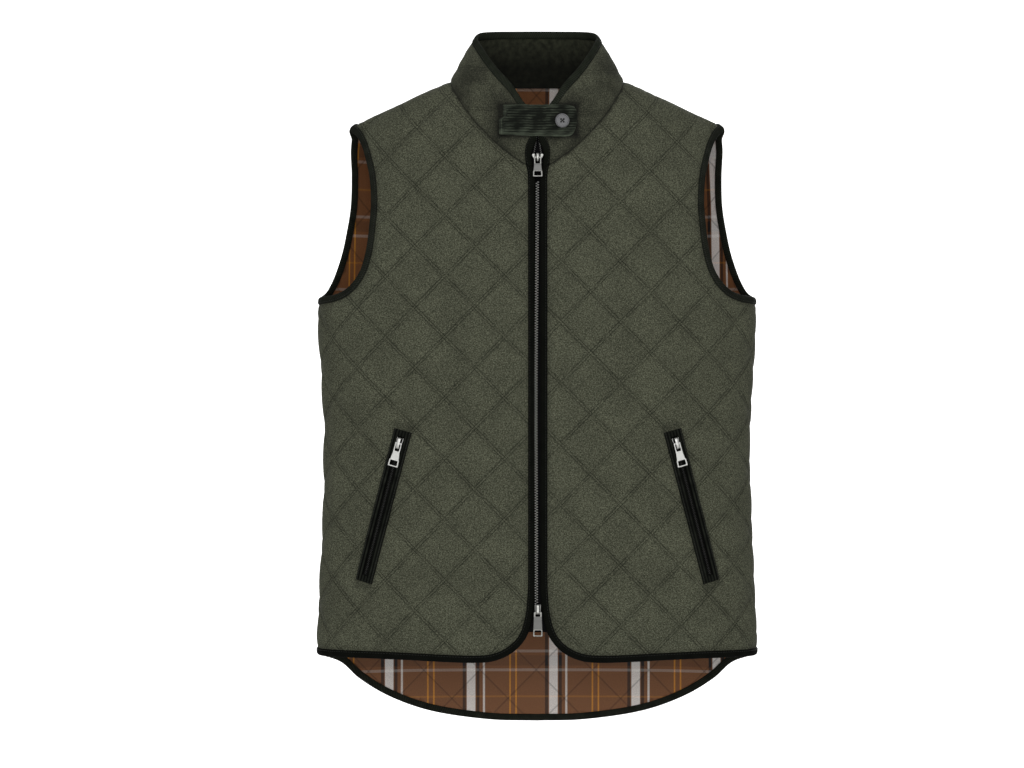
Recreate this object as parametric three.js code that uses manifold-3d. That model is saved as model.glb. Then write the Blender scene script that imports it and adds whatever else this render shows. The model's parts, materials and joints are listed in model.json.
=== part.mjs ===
// A quilted stand-collar vest, filled out as if worn, with nobody in it.
// Millimetres, +Z up. The front faces -Y, and +X is the wearer's left. The origin is the middle of the
// neck, level with the points where the shoulder seams meet the collar.
//
// Every cloth piece is laid out on the body's surface in two pattern sizes: p, the way round from the
// centre front or centre back, and z, the height. A third size, t, is the distance out from the surface.
import * as THREE from "three";
import { mergeVertices } from "three/addons/utils/BufferGeometryUtils.js";
import Module from "manifold-3d";

const wasm = await Module();
wasm.setup();

// Driving sizes
const seamGap = 0.3;
const layGap = 0.4; // between a panel and what lies on it
const pointSpacing = 15; // between the points of a cut edge

const FRONT = -1;
const BACK = 1;
const RIGHT = -1; // the wearer's right, at -X
const LEFT = 1;

// The body from the neck to the tail: a row for each level.
const bodyLevels = [
  { z: 30, halfWidth: 214, front: 56, back: 58, squareness: 2.3 },
  { z: 0, halfWidth: 219, front: 62, back: 71, squareness: 2.4 },
  { z: -50, halfWidth: 225, front: 69, back: 83, squareness: 2.5 },
  { z: -95, halfWidth: 230, front: 75, back: 91, squareness: 2.6 },
  { z: -150, halfWidth: 236, front: 83, back: 96, squareness: 2.8 },
  { z: -245, halfWidth: 244, front: 91, back: 97, squareness: 3 },
  { z: -390, halfWidth: 237, front: 90, back: 89, squareness: 3 },
  { z: -500, halfWidth: 239, front: 90, back: 90, squareness: 3 },
  { z: -650, halfWidth: 246, front: 91, back: 95, squareness: 3 },
  { z: -760, halfWidth: 250, front: 91, back: 98, squareness: 3 },
];

// The shoulders slope down from the neck, and the cloth rolls over them from front to back.
const shoulder = { neckX: 97, slope: 0.475, ease: 40, roll: 105, rollPower: 2.2 };

// The front of the neck seam is a curve between an oval and a V. The back is nearly level.
const neckSeam = { halfWidth: 97, frontDrop: 103, power: 1.35, backRise: 4 };

// Cut edges of the cloth inside the bindings, seen square on, from the top down.
const armholeCut = {
  [FRONT]: [
    { x: 197, z: -58 },
    { x: 190, z: -71.5 },
    { x: 185, z: -87 },
    { x: 180, z: -108 },
    { x: 177.5, z: -137 },
    { x: 179, z: -163 },
    { x: 183.5, z: -197 },
    { x: 191.5, z: -221 },
    { x: 206, z: -239 },
    { x: 223, z: -247.5 },
  ],
  [BACK]: [
    { x: 205, z: -59 },
    { x: 206.5, z: -76 },
    { x: 206.3, z: -101 },
    { x: 208, z: -137 },
    { x: 213, z: -168 },
    { x: 220, z: -198 },
    { x: 231, z: -228 },
    { x: 239, z: -242 },
  ],
};
const armholeTopZ = -48;
const underarmZ = -250;
const frontHemCut = [
  { x: 195, z: -635 },
  { x: 143.5, z: -636 },
  { x: 96, z: -638 },
  { x: 69, z: -638.5 },
  { x: 51, z: -637 },
  { x: 34, z: -630 },
  { x: 20, z: -616 },
  { x: 12.7, z: -594 },
  { x: 10, z: -565 },
];
const frontEdgeX = 9.6; // where the cloth stops each side of the zip
const slack = { more: 3.6, z: -84, reach: 22 }; // the edges part a little round the top slider
const frontEdgeStraightZ = -540; // the front edge is straight above this and rounds away below it
const sideHemZ = -637;
const tailCut = [
  { x: 224, z: -653 },
  { x: 200, z: -675.5 },
  { x: 169, z: -695.5 },
  { x: 123.5, z: -713 },
  { x: 54, z: -724 },
  { x: 0, z: -725.5 },
];

const cloth = { lining: -1.3, shell: 1.6, puff: 2.6 }; // inner face, outer face at a stitched line, rise of a diamond
const liningLayer = { inner: -1.3, outer: -0.3 };

// Quilting: the half pitch of the diamonds across and down, and a crossing of the stitched lines on each panel.
const quilt = {
  halfAcross: 32.8,
  halfDown: 33.3,
  edgeMargin: 10,
  front: { [RIGHT]: { p: -36.6, z: -355.3 }, [LEFT]: { p: 25.1, z: -338.9 } },
  back: { p: 0, z: -340 },
};

const binding = { width: 7.2, inner: -1.5, outer: 2.6, lowEdge: 1.9 };

// Small shared tools

// A smooth curve through one column of a table whose rows fall in z.
function columnAt(rows, column, z) {
  if (z >= rows[0].z) return rows[0][column];
  let i = 0;
  while (i < rows.length - 2 && z < rows[i + 1].z) i += 1;
  const slopeAt = (k) => {
    const above = rows[Math.max(0, k - 1)];
    const below = rows[Math.min(rows.length - 1, k + 1)];
    return (below[column] - above[column]) / (below.z - above.z);
  };
  const step = rows[i + 1].z - rows[i].z;
  const u = Math.min(1, (z - rows[i].z) / step);
  return (
    rows[i][column] * (1 + 2 * u) * (1 - u) ** 2 +
    slopeAt(i) * step * u * (1 - u) ** 2 +
    rows[i + 1][column] * u * u * (3 - 2 * u) +
    slopeAt(i + 1) * step * u * u * (u - 1)
  );
}

const mix = (a, b, share) => a + (b - a) * share;
const shoulderTilt = Math.atan(shoulder.slope);

// The body's surface

function shoulderHeight(x) {
  return shoulder.slope * (Math.hypot(shoulder.neckX, shoulder.ease) - Math.hypot(x, shoulder.ease));
}

// How far the surface stands out from the plane y = 0, in front or behind.
function depthAt(side, x, z) {
  const power = columnAt(bodyLevels, "squareness", z);
  const across = Math.min(1, Math.abs(x) / columnAt(bodyLevels, "halfWidth", z));
  const round = (1 - across ** power) ** (1 / power);
  const below = Math.max(0, Math.min(shoulder.roll, shoulderHeight(x) - z)) / shoulder.roll;
  const roll = (1 - (1 - below) ** shoulder.rollPower) ** (1 / shoulder.rollPower);
  return columnAt(bodyLevels, side === FRONT ? "front" : "back", z) * round * roll;
}

// The half width of the surface at a height: the side, or the shoulder line above the armhole.
function edgeX(z) {
  const reach = Math.hypot(shoulder.neckX, shoulder.ease) - z / shoulder.slope;
  const shoulderX = Math.sqrt(Math.max(0, reach * reach - shoulder.ease ** 2));
  return Math.min(columnAt(bodyLevels, "halfWidth", z), shoulderX);
}

const rings = new Map();

// One level of the surface from the middle to the side, as points with their way round.
function ringAt(side, z) {
  const key = side + " " + z.toFixed(3);
  if (rings.has(key)) return rings.get(key);
  const steps = 120;
  const ring = [];
  for (let i = 0; i <= steps; i += 1) {
    const x = edgeX(z) * Math.sin((i / steps) * (Math.PI / 2));
    const y = depthAt(side, x, z);
    const last = ring[i - 1];
    ring.push({ x, y, p: last ? last.p + Math.hypot(x - last.x, y - last.y) : 0 });
  }
  rings.set(key, ring);
  return ring;
}

const sideP = (side, z) => ringAt(side, z).at(-1).p;

// The way round to a place that is given as seen square on.
function wayRound(side, x, z) {
  const ring = ringAt(side, z);
  const i = Math.max(1, ring.findIndex((r) => r.x >= Math.abs(x)));
  if (Math.abs(x) >= ring.at(-1).x) return Math.sign(x) * ring.at(-1).p;
  const share = (Math.abs(x) - ring[i - 1].x) / (ring[i].x - ring[i - 1].x);
  return Math.sign(x) * mix(ring[i - 1].p, ring[i].p, share);
}

// The point of the surface at pattern place (p, z).
function footOf(side, p, z) {
  const ring = ringAt(side, z);
  const way = Math.min(Math.abs(p), ring.at(-1).p);
  const i = Math.max(1, ring.findIndex((r) => r.p >= way));
  const share = (way - ring[i - 1].p) / (ring[i].p - ring[i - 1].p);
  const x = Math.sign(p) * mix(ring[i - 1].x, ring[i].x, share);
  return new THREE.Vector3(x, side * mix(ring[i - 1].y, ring[i].y, share), z);
}

// Straight out from the surface at pattern place (p, z).
function outwardAt(side, p, z) {
  const { x } = footOf(side, p, z);
  const near = 0.999 * x;
  const probe = 0.25;
  const acrossFall = (depthAt(side, near + probe, z) - depthAt(side, near - probe, z)) / (2 * probe);
  const upFall = (depthAt(side, near, z + probe) - depthAt(side, near, z - probe)) / (2 * probe);
  return new THREE.Vector3(-acrossFall, side, -upFall).normalize();
}

function place(side, p, z, t) {
  return footOf(side, p, z).addScaledVector(outwardAt(side, p, z), t);
}

// Curves in the pattern

// Points along a smooth curve through a few places, about one spacing apart and closer where it bends.
function curveThrough(side, places, spacing = pointSpacing) {
  const curve = new THREE.CatmullRomCurve3(
    places.map(({ p, z }) => new THREE.Vector3(p, z, 0)),
    false,
    "centripetal",
  );
  const fine = curve.getSpacedPoints(400);
  const onBody = fine.map(({ x, y }) => footOf(side, x, y));
  const steps = onBody.map((at, i) => (i ? at.distanceTo(onBody[i - 1]) : 0));
  const total = steps.reduce((sum, step) => sum + step, 0);
  const even = total / Math.max(1, Math.round(total / spacing));
  const sharpest = 0.2; // the most that the edge may turn between two points
  const kept = [fine[0]];
  let run = 0;
  let turn = 0;
  let left = total;
  for (let i = 1; i < fine.length - 1; i += 1) {
    const before = fine[i].clone().sub(fine[i - 1]);
    const after = fine[i + 1].clone().sub(fine[i]);
    run += steps[i];
    left -= steps[i];
    turn += before.angleTo(after);
    if ((run >= even || turn > sharpest) && left > 0.6 * even) {
      kept.push(fine[i]);
      run = 0;
      turn = 0;
    }
  }
  kept.push(fine.at(-1));
  return kept.map(({ x, y }) => ({ p: x, z: y }));
}

const joined = (...runs) => runs.flatMap((run, i) => (i ? run.slice(1) : run));

// Solids

// The geometry of a list of points and the triangles that join them.
function geometryOf(points, faces) {
  const geometry = new THREE.BufferGeometry();
  geometry.setAttribute("position", new THREE.Float32BufferAttribute(points.flatMap((v) => v.toArray()), 3));
  geometry.setIndex(faces.flat());
  return geometry;
}

// A closed skin over sections that all have the same number of corners.
function skinOf(sections, isRing) {
  const corners = sections[0].length;
  const faces = [];
  const spans = isRing ? sections.length : sections.length - 1;
  for (let i = 0; i < spans; i += 1) {
    const next = (i + 1) % sections.length;
    for (let k = 0; k < corners; k += 1) {
      const a = i * corners + k;
      const b = i * corners + ((k + 1) % corners);
      const c = next * corners + ((k + 1) % corners);
      const d = next * corners + k;
      faces.push([a, b, c], [a, c, d]);
    }
  }
  if (!isRing) {
    const end = (sections.length - 1) * corners;
    for (let k = 1; k < corners - 1; k += 1) {
      faces.push([0, k + 1, k], [end, end + k, end + k + 1]);
    }
  }
  return faceOut(geometryOf(sections.flat(), faces));
}

// Turns the faces round where the volume comes out negative.
function faceOut(geometry) {
  const at = geometry.getAttribute("position");
  const index = geometry.getIndex();
  const [a, b, c] = [new THREE.Vector3(), new THREE.Vector3(), new THREE.Vector3()];
  let volume = 0;
  for (let i = 0; i < index.count; i += 3) {
    a.fromBufferAttribute(at, index.getX(i));
    b.fromBufferAttribute(at, index.getX(i + 1));
    c.fromBufferAttribute(at, index.getX(i + 2));
    volume += a.dot(b.cross(c));
  }
  if (volume < 0) {
    for (let i = 0; i < index.count; i += 3) {
      const second = index.getX(i + 1);
      index.setX(i + 1, index.getX(i + 2));
      index.setX(i + 2, second);
    }
  }
  return geometry;
}

function insideOf(outline, at) {
  let inside = false;
  outline.forEach((a, i) => {
    const b = outline[(i + 1) % outline.length];
    const crosses = a.z > at.z !== b.z > at.z;
    if (crosses && at.p < a.p + ((b.p - a.p) * (at.z - a.z)) / (b.z - a.z)) inside = !inside;
  });
  return inside;
}

function distanceTo(outline, at) {
  let least = Infinity;
  outline.forEach((a, i) => {
    const b = outline[(i + 1) % outline.length];
    const [dp, dz] = [b.p - a.p, b.z - a.z];
    const along = ((at.p - a.p) * dp + (at.z - a.z) * dz) / (dp * dp + dz * dz);
    const share = Math.max(0, Math.min(1, along));
    least = Math.min(least, Math.hypot(at.p - a.p - share * dp, at.z - a.z - share * dz));
  });
  return least;
}

// Delaunay triangles of the places of a cut panel, without those outside its outline.
function trianglesOf(outline, inner) {
  const places = [...outline, ...inner];
  const nudge = 2e-3; // breaks the ties of the even lattice, and moves no real point
  const flat = places.map(({ p, z }, i) =>
    i < outline.length ? [p, z] : [p + nudge * Math.sin(i * 12.9), z + nudge * Math.cos(i * 78.2)],
  );
  const far = 1e5;
  flat.push([-far, -far], [far, -far], [0, far]);
  const circleOf = (a, b, c) => {
    const [[ax, ay], [bx, by], [cx, cy]] = [flat[a], flat[b], flat[c]];
    const twice = 2 * ((bx - ax) * (cy - ay) - (by - ay) * (cx - ax));
    const bb = (bx - ax) ** 2 + (by - ay) ** 2;
    const cc = (cx - ax) ** 2 + (cy - ay) ** 2;
    const x = ((cy - ay) * bb - (by - ay) * cc) / twice;
    const y = ((bx - ax) * cc - (cx - ax) * bb) / twice;
    return { corners: [a, b, c], x: ax + x, y: ay + y, reach: x * x + y * y };
  };
  let triangles = [circleOf(places.length, places.length + 1, places.length + 2)];
  for (let i = 0; i < places.length; i += 1) {
    const rim = new Map();
    triangles = triangles.filter((each) => {
      if ((flat[i][0] - each.x) ** 2 + (flat[i][1] - each.y) ** 2 >= each.reach) return true;
      each.corners.forEach((from, k) => {
        const to = each.corners[(k + 1) % 3];
        if (!rim.delete(to + " " + from)) rim.set(from + " " + to, [from, to]);
      });
      return false;
    });
    for (const [from, to] of rim.values()) triangles.push(circleOf(from, to, i));
  }
  return triangles
    .map((each) => each.corners)
    .filter((corners) => {
      if (corners.some((k) => k >= places.length)) return false;
      const [a, b, c] = corners.map((k) => places[k]);
      return insideOf(outline, { p: (a.p + b.p + c.p) / 3, z: (a.z + b.z + c.z) / 3 });
    });
}

// In each quarter of a diamond the short edge joins the middles of its stitched sides, so that the puff
// rises from the whole stitched line.
function turnQuarters(triangles, kinds) {
  const byEdge = new Map();
  const key = (a, b) => Math.min(a, b) + " " + Math.max(a, b);
  triangles.forEach((corners, n) => {
    corners.forEach((from, k) => {
      const to = corners[(k + 1) % 3];
      const ends = [kinds[from], kinds[to]].sort().join();
      if (ends !== "crossing,middle") return;
      const other = byEdge.get(key(from, to));
      if (other === undefined) {
        byEdge.set(key(from, to), n);
        return;
      }
      const [one, two] = [triangles[other], triangles[n]];
      const oneTip = one.find((c) => c !== from && c !== to);
      const twoTip = two.find((c) => c !== from && c !== to);
      if (kinds[oneTip] !== "side" || kinds[twoTip] !== "side") return;
      triangles[other] = [from, oneTip, twoTip];
      triangles[n] = [oneTip, to, twoTip];
    });
  });
}

// The places of the quilting inside an outline: crossings, middles of the stitched sides, and the
// middles of the diamonds, which rise.
function quiltPlaces(outline, crossing, flatRim) {
  const found = [];
  const [ps, zs] = [outline.map((o) => o.p), outline.map((o) => o.z)];
  const [stepP, stepZ] = [quilt.halfAcross / 2, quilt.halfDown / 2];
  const first = Math.ceil((Math.min(...ps) - crossing.p) / stepP);
  const last = Math.floor((Math.max(...ps) - crossing.p) / stepP);
  const low = Math.ceil((Math.min(...zs) - crossing.z) / stepZ);
  const high = Math.floor((Math.max(...zs) - crossing.z) / stepZ);
  for (let m = first; m <= last; m += 1) {
    for (let n = low; n <= high; n += 1) {
      if ((m + n) % 2) continue;
      const at = { p: crossing.p + m * stepP, z: crossing.z + n * stepZ };
      if (!insideOf(outline, at) || distanceTo(outline, at) < quilt.edgeMargin) continue;
      if (flatRim.length && insideOf(flatRim, at)) continue;
      if (flatRim.length && distanceTo(flatRim, at) < 0.7 * quilt.edgeMargin) continue;
      const kind = m % 2 ? "side" : (m + n) % 4 ? "middle" : "crossing";
      found.push({ ...at, kind, rise: kind === "middle" ? cloth.puff : 0 });
    }
  }
  return found;
}

// One closed layer of cloth: the places of a pattern on its inner and its outer face, and a wall round the edge.
function layerOf({ places, triangles, outline }, lowAt, highAt) {
  const count = places.length;
  const low = places.map(lowAt);
  const high = places.map(highAt);
  const faces = [];
  for (const [a, b, c] of triangles) faces.push([a, b, c], [count + a, count + c, count + b]);
  outline.forEach((here, i) => {
    const next = outline[(i + 1) % outline.length];
    faces.push([here, count + here, next], [next, count + here, count + next]);
  });
  return faceOut(geometryOf([...low, ...high], faces));
}

// A cut panel between two heights above the surface.
function panelSolid(side, pattern, lowT, highT, rises) {
  const lowAt = ({ p, z }) => place(side, p, z, lowT);
  const highAt = ({ p, z, rise }) => place(side, p, z, highT + (rises ? rise : 0));
  return layerOf(pattern, lowAt, highAt);
}

// Lays the quilting out inside an outline and joins it all up into triangles.
function cutPattern(outline, crossing, rolls, flatRim = []) {
  const turned = areaOf(outline) > 0 ? outline : [...outline].reverse();
  const edge = turned.map((at) => ({ ...at, kind: "edge", rise: 0 }));
  const rim = flatRim.map((at) => ({ ...at, kind: "plain", rise: 0 }));
  const inner = [...rim, ...rolls, ...quiltPlaces(turned, crossing, flatRim)];
  const triangles = trianglesOf(edge, inner);
  const places = [...edge, ...inner];
  turnQuarters(triangles, places.map((at) => at.kind));
  return { places, triangles, outline: edge.map((_, i) => i) };
}

function areaOf(outline) {
  return outline.reduce((sum, a, i) => {
    const b = outline[(i + 1) % outline.length];
    return sum + (a.p * b.z - b.p * a.z) / 2;
  }, 0);
}

// The cut edges of the panels, on the wearer's left

const seamP = (side, z) => sideP(side, z) - seamGap / 2;
const seenAt = (side) => ({ x, z }) => ({ p: wayRound(side, x, z), z });
const levelsBetween = (from, to, count) =>
  Array.from({ length: count + 1 }, (_, i) => mix(from, to, i / count));

function seamRun(side, fromZ, toZ, spacing) {
  const places = levelsBetween(fromZ, toZ, 12).map((z) => ({ p: seamP(side, z), z }));
  return curveThrough(side, places, spacing);
}

function frontNeckZ(x) {
  const { halfWidth, frontDrop, power } = neckSeam;
  return -frontDrop * (1 - (x / halfWidth) ** power) ** (1 / power);
}

function backNeckZ(x) {
  return neckSeam.backRise * (1 - (x / neckSeam.halfWidth) ** 2);
}

// Where the cloth of a front or of the collar ends, beside the zip.
function edgeBesideZip(z) {
  return frontEdgeX + slack.more * Math.exp(-(((z - slack.z) / slack.reach) ** 2));
}

const neckEdge = { p: edgeBesideZip(-97), z: frontNeckZ(edgeBesideZip(-97)) };

function neckRun(side) {
  const from = side === FRONT ? neckEdge.p : 0;
  const heightAt = side === FRONT ? frontNeckZ : backNeckZ;
  const start = Math.asin(from / neckSeam.halfWidth);
  const places = levelsBetween(start, Math.PI / 2, 16).map((turn) => {
    const x = neckSeam.halfWidth * Math.sin(turn);
    return { p: Math.min(wayRound(side, x, heightAt(x)), seamP(side, heightAt(x))), z: heightAt(x) };
  });
  return curveThrough(side, places, 12);
}

function armholeRun(side) {
  const top = { p: seamP(side, armholeTopZ), z: armholeTopZ };
  const underarm = { p: seamP(side, underarmZ), z: underarmZ };
  return curveThrough(side, [top, ...armholeCut[side].map(seenAt(side)), underarm]);
}

const sideSpacing = 20;
const frontRuns = {
  neck: neckRun(FRONT),
  shoulder: seamRun(FRONT, 0, armholeTopZ, 20),
  armhole: armholeRun(FRONT),
  side: seamRun(FRONT, underarmZ, sideHemZ, sideSpacing),
  hem: curveThrough(FRONT, [
    { p: seamP(FRONT, sideHemZ), z: sideHemZ },
    ...frontHemCut.map(seenAt(FRONT)),
    { p: frontEdgeX, z: frontEdgeStraightZ },
  ]),
  edge: joined(
    curveThrough(FRONT, [{ p: frontEdgeX, z: frontEdgeStraightZ }, { p: frontEdgeX, z: -150 }], 18),
    curveThrough(FRONT, [...[-150, -135, -120, -108].map((z) => ({ p: edgeBesideZip(z), z })), neckEdge], 12),
  ),
};
const backRuns = {
  neck: neckRun(BACK),
  shoulder: seamRun(BACK, 0, armholeTopZ, 20),
  armhole: armholeRun(BACK),
  side: seamRun(BACK, underarmZ, sideHemZ, sideSpacing),
  hem: curveThrough(BACK, [{ p: seamP(BACK, sideHemZ), z: sideHemZ }, ...tailCut.map(seenAt(BACK))]),
};

const mirrored = (run) => run.map(({ p, z }) => ({ p: -p, z }));
const forWearer = (wearer, run) => (wearer === LEFT ? run : mirrored(run));

const frontOutline = joined(...Object.values(frontRuns)).slice(0, -1);
const backHalf = joined(...Object.values(backRuns));
const backOutline = [...backHalf, ...mirrored(backHalf).reverse().slice(1, -1)];

// Rows of places below the shoulder seam, where the cloth turns over the shoulder.
function rollPlaces(side, seam, wearer) {
  const rows = [2.5, 7];
  return seam.slice(1, -1).flatMap(({ p, z }) =>
    rows.map((below) => ({
      p: p - wearer * below * Math.sin(shoulderTilt),
      z: z - below * Math.cos(shoulderTilt),
      kind: "plain",
      rise: 0,
    })),
  );
}

// Pockets: a slanted zip between two corded welts, with the cloth flat under them.
const pocket = {
  top: { p: 148, z: -391 },
  slant: THREE.MathUtils.degToRad(15),
  length: 173,
  halfWidth: 10,
  endWelt: 8,
  slotHalf: 2.8,
  low: cloth.shell + layGap,
  high: 3.6,
  flatMargin: 2.5,
};

// A place on the pocket, from its top middle: down along the zip and across it.
function onPocket(wearer, down, across) {
  const { top, slant } = pocket;
  return {
    p: wearer * (top.p + down * Math.sin(slant) + across * Math.cos(slant)),
    z: top.z - down * Math.cos(slant) + across * Math.sin(slant),
  };
}

// Corners and sides of an oblong on the pocket, with its long sides in equal steps.
function pocketOblong(wearer, from, to, half, steps) {
  const downs = levelsBetween(from, to, steps);
  return [
    ...downs.map((down) => onPocket(wearer, down, half)),
    ...downs.reverse().map((down) => onPocket(wearer, down, -half)),
  ];
}

function flatUnderPocket(wearer) {
  const { length, halfWidth, flatMargin } = pocket;
  const half = halfWidth + flatMargin;
  return pocketOblong(wearer, -flatMargin, length + flatMargin, half, 14);
}

// Strips along an edge

// The bindings' section, from the cut edge out: n is the way out from the edge.
const bindingSection = [
  { n: seamGap, t: binding.inner },
  { n: binding.width - 0.5, t: binding.inner },
  { n: binding.width, t: 0.4 },
  { n: binding.width - 1, t: binding.lowEdge },
  { n: seamGap, t: binding.outer },
];

// The surface turns sharply at the tip of the shoulder, so the binding keeps a little further off there.
const tipGap = 0.6;
const atTip = (side, at) => shoulderHeight(footOf(side, at.p, at.z).x) - at.z < 12 && at.z > armholeTopZ - 12;

// A binding's sections along a run. The two ends follow the seams that they stop at.
function bindingAlong(side, wearer, run, outline, startAlong, endAlong) {
  return run.map((at, i) => {
    const before = run[Math.max(0, i - 1)];
    const after = run[Math.min(run.length - 1, i + 1)];
    const [dp, dz] = [after.p - before.p, after.z - before.z];
    const length = Math.hypot(dp, dz);
    const probe = { p: at.p - dz / length, z: at.z + dp / length };
    const turn = insideOf(outline, probe) ? -1 : 1;
    const out = (n) => ({ p: at.p - (turn * n * dz) / length, z: at.z + (turn * n * dp) / length });
    const isStart = i === 0;
    const isEnd = i === run.length - 1;
    const reach = isStart ? startAlong : isEnd ? endAlong : out;
    const extra = atTip(side, at) ? tipGap : 0;
    return bindingSection.map(({ n, t }) => {
      const { p, z } = reach(n + extra, at);
      return place(side, wearer * p, z, t);
    });
  });
}

const alongShoulder = (side) => (n, at) => {
  const z = at.z - n * Math.sin(shoulderTilt);
  return { p: seamP(side, z), z };
};
const alongSide = (side, way) => (n, at) => ({ p: seamP(side, at.z + way * n), z: at.z + way * n });
const alongNeck = (n, at) => ({ p: at.p - n, z: frontNeckZ(at.p - n) });

function armholeBinding(wearer) {
  const front = bindingAlong(
    FRONT, wearer, frontRuns.armhole, frontOutline, alongShoulder(FRONT), alongSide(FRONT, 1),
  );
  const back = bindingAlong(
    BACK, wearer, backRuns.armhole, backOutline, alongShoulder(BACK), alongSide(BACK, 1),
  );
  return skinOf([...front, ...back.reverse()], true);
}

function frontBinding(wearer) {
  const run = joined(frontRuns.hem, frontRuns.edge);
  return skinOf(bindingAlong(FRONT, wearer, run, frontOutline, alongSide(FRONT, -1), alongNeck), false);
}

function tailBinding() {
  const half = bindingAlong(BACK, LEFT, backRuns.hem, backOutline, alongSide(BACK, -1), (n, at) => ({
    p: 0,
    z: at.z - n,
  }));
  const other = bindingAlong(BACK, RIGHT, backRuns.hem, backOutline, alongSide(BACK, -1), (n, at) => ({
    p: 0,
    z: at.z - n,
  }));
  return skinOf([...half, ...other.reverse().slice(1)], false);
}

// The collar

// The collar's top edge: a row for each turn round the neck from the centre front.
const collarTop = [
  { turn: 0, x: 0, y: -69, z: -47 },
  { turn: 10, x: 7.5, y: -70, z: -37 },
  { turn: 22, x: 16, y: -69, z: -27.5 },
  { turn: 36, x: 28.5, y: -64, z: -8 },
  { turn: 52, x: 44.5, y: -50, z: 11 },
  { turn: 66, x: 56, y: -33, z: 28 },
  { turn: 78, x: 63.5, y: -16, z: 41.5 },
  { turn: 90, x: 67.5, y: 1, z: 51 },
  { turn: 116, x: 63.5, y: 18, z: 59 },
  { turn: 142, x: 49, y: 34, z: 62.5 },
  { turn: 162, x: 27, y: 44, z: 64 },
  { turn: 180, x: 0, y: 47, z: 64.5 },
];
const collar = {
  shell: { low: 0, high: 1.6 },
  facing: { low: -1.9, high: -0.3 },
  bindingShare: 0.87, // the binding covers the wall above this share of its height
  footFront: 0.8, // the seam gap, wider where the wall stands up steeply from the shoulder
  footRise: 0.9,
  height: 60,
  columns: 40,
  rows: 3,
};

// One value of the collar's top edge, smooth through the rows and the same on both sides.
function collarTopAt(column, turn) {
  const last = collarTop.length - 1;
  const sign = column === "x" ? -1 : 1;
  const rowAt = (k) => {
    if (k < 0) return { turn: -collarTop[-k].turn, value: sign * collarTop[-k][column] };
    if (k > last) return { turn: 360 - collarTop[2 * last - k].turn, value: sign * collarTop[2 * last - k][column] };
    return { turn: collarTop[k].turn, value: collarTop[k][column] };
  };
  let i = 0;
  while (i < last - 1 && turn > collarTop[i + 1].turn) i += 1;
  const isPointed = column === "z"; // the two sides meet in a point at the centre front
  const slopeAt = (k) => {
    const from = isPointed && k === 0 ? rowAt(0) : rowAt(k - 1);
    const to = rowAt(k + 1);
    return (to.value - from.value) / (to.turn - from.turn);
  };
  const [a, b] = [rowAt(i), rowAt(i + 1)];
  const step = b.turn - a.turn;
  const u = (turn - a.turn) / step;
  return (
    a.value * (1 + 2 * u) * (1 - u) ** 2 +
    slopeAt(i) * step * u * (1 - u) ** 2 +
    b.value * u * u * (3 - 2 * u) +
    slopeAt(i + 1) * step * u * u * (u - 1)
  );
}

// The collar's wall runs straight from the neck seam to its top edge. A turn over 180 degrees is on the right.
function collarFootOf(turn, share) {
  const half = turn > 180 ? 360 - turn : turn;
  const wearer = turn > 180 || turn < 0 ? RIGHT : LEFT;
  const near = Math.abs(half);
  const side = near <= 90 ? FRONT : BACK;
  const x = neckSeam.halfWidth * Math.sin(THREE.MathUtils.degToRad(near));
  const z = side === FRONT ? frontNeckZ(x) : backNeckZ(x);
  const seam = new THREE.Vector3(x, side * depthAt(side, x, z), z);
  const top = new THREE.Vector3(...["x", "y", "z"].map((column) => collarTopAt(column, near)));
  const at = seam.lerp(top, share);
  at.x *= wearer;
  return at;
}

function placeOnCollar(turn, share, t) {
  const probe = turn < 180 ? 0.5 : -0.5;
  const at = collarFootOf(turn, share);
  const round = collarFootOf(turn + probe, share).sub(at).divideScalar(probe);
  const up = collarFootOf(turn, share + 0.02).sub(at);
  return at.addScaledVector(round.cross(up).normalize(), t);
}

// The turn at which the collar's wall stands a given way from the centre front.
function turnAtX(x, share) {
  let [low, high] = [0, 60];
  for (let i = 0; i < 40; i += 1) {
    const middle = (low + high) / 2;
    if (collarFootOf(middle, share).x < x) low = middle;
    else high = middle;
  }
  return (low + high) / 2;
}

// The turn of the collar's end at a share of its height, less a width towards the zip.
function collarEndTurn(share, less) {
  const z = mix(neckEdge.z, collarTop[0].z, share);
  return turnAtX(edgeBesideZip(z) - less, share);
}

const footShare = (turn) => {
  const fromFront = Math.min(turn, 360 - turn);
  return (collar.footFront + collar.footRise * Math.min(1, fromFront / 60)) / collar.height;
};

const clothTopShare = collar.bindingShare - seamGap / collar.height;

function collarWall({ low, high }) {
  const { columns, rows } = collar;
  const places = [];
  const triangles = [];
  const top = clothTopShare;
  for (let i = 0; i <= columns; i += 1) {
    for (let k = 0; k <= rows; k += 1) {
      const end = collarEndTurn(mix(0, top, k / rows), 0);
      const turn = mix(end, 360 - end, i / columns);
      places.push({ turn, share: mix(footShare(turn), top, k / rows) });
      if (i === 0 || k === 0) continue;
      const here = places.length - 1;
      const [below, before] = [here - 1, here - rows - 1];
      triangles.push([before - 1, below, here], [before - 1, here, before]);
    }
  }
  const at = (i, k) => i * (rows + 1) + k;
  const outline = [];
  for (let i = 0; i <= columns; i += 1) outline.push(at(i, 0));
  for (let k = 1; k <= rows; k += 1) outline.push(at(columns, k));
  for (let i = columns - 1; i >= 0; i -= 1) outline.push(at(i, rows));
  for (let k = rows - 1; k >= 1; k -= 1) outline.push(at(0, k));
  return layerOf(
    { places, triangles, outline },
    ({ turn, share }) => placeOnCollar(turn, share, low),
    ({ turn, share }) => placeOnCollar(turn, share, high),
  );
}

// The collar's section of binding: share 0 is at the cloth and 1 at the free edge.
const collarBindingSection = [
  { share: 0, t: -2.2 },
  { share: 0.9, t: -1.9 },
  { share: 1, t: -0.2 },
  { share: 0.88, t: 1.6 },
  { share: 0, t: 2.1 },
];

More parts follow.
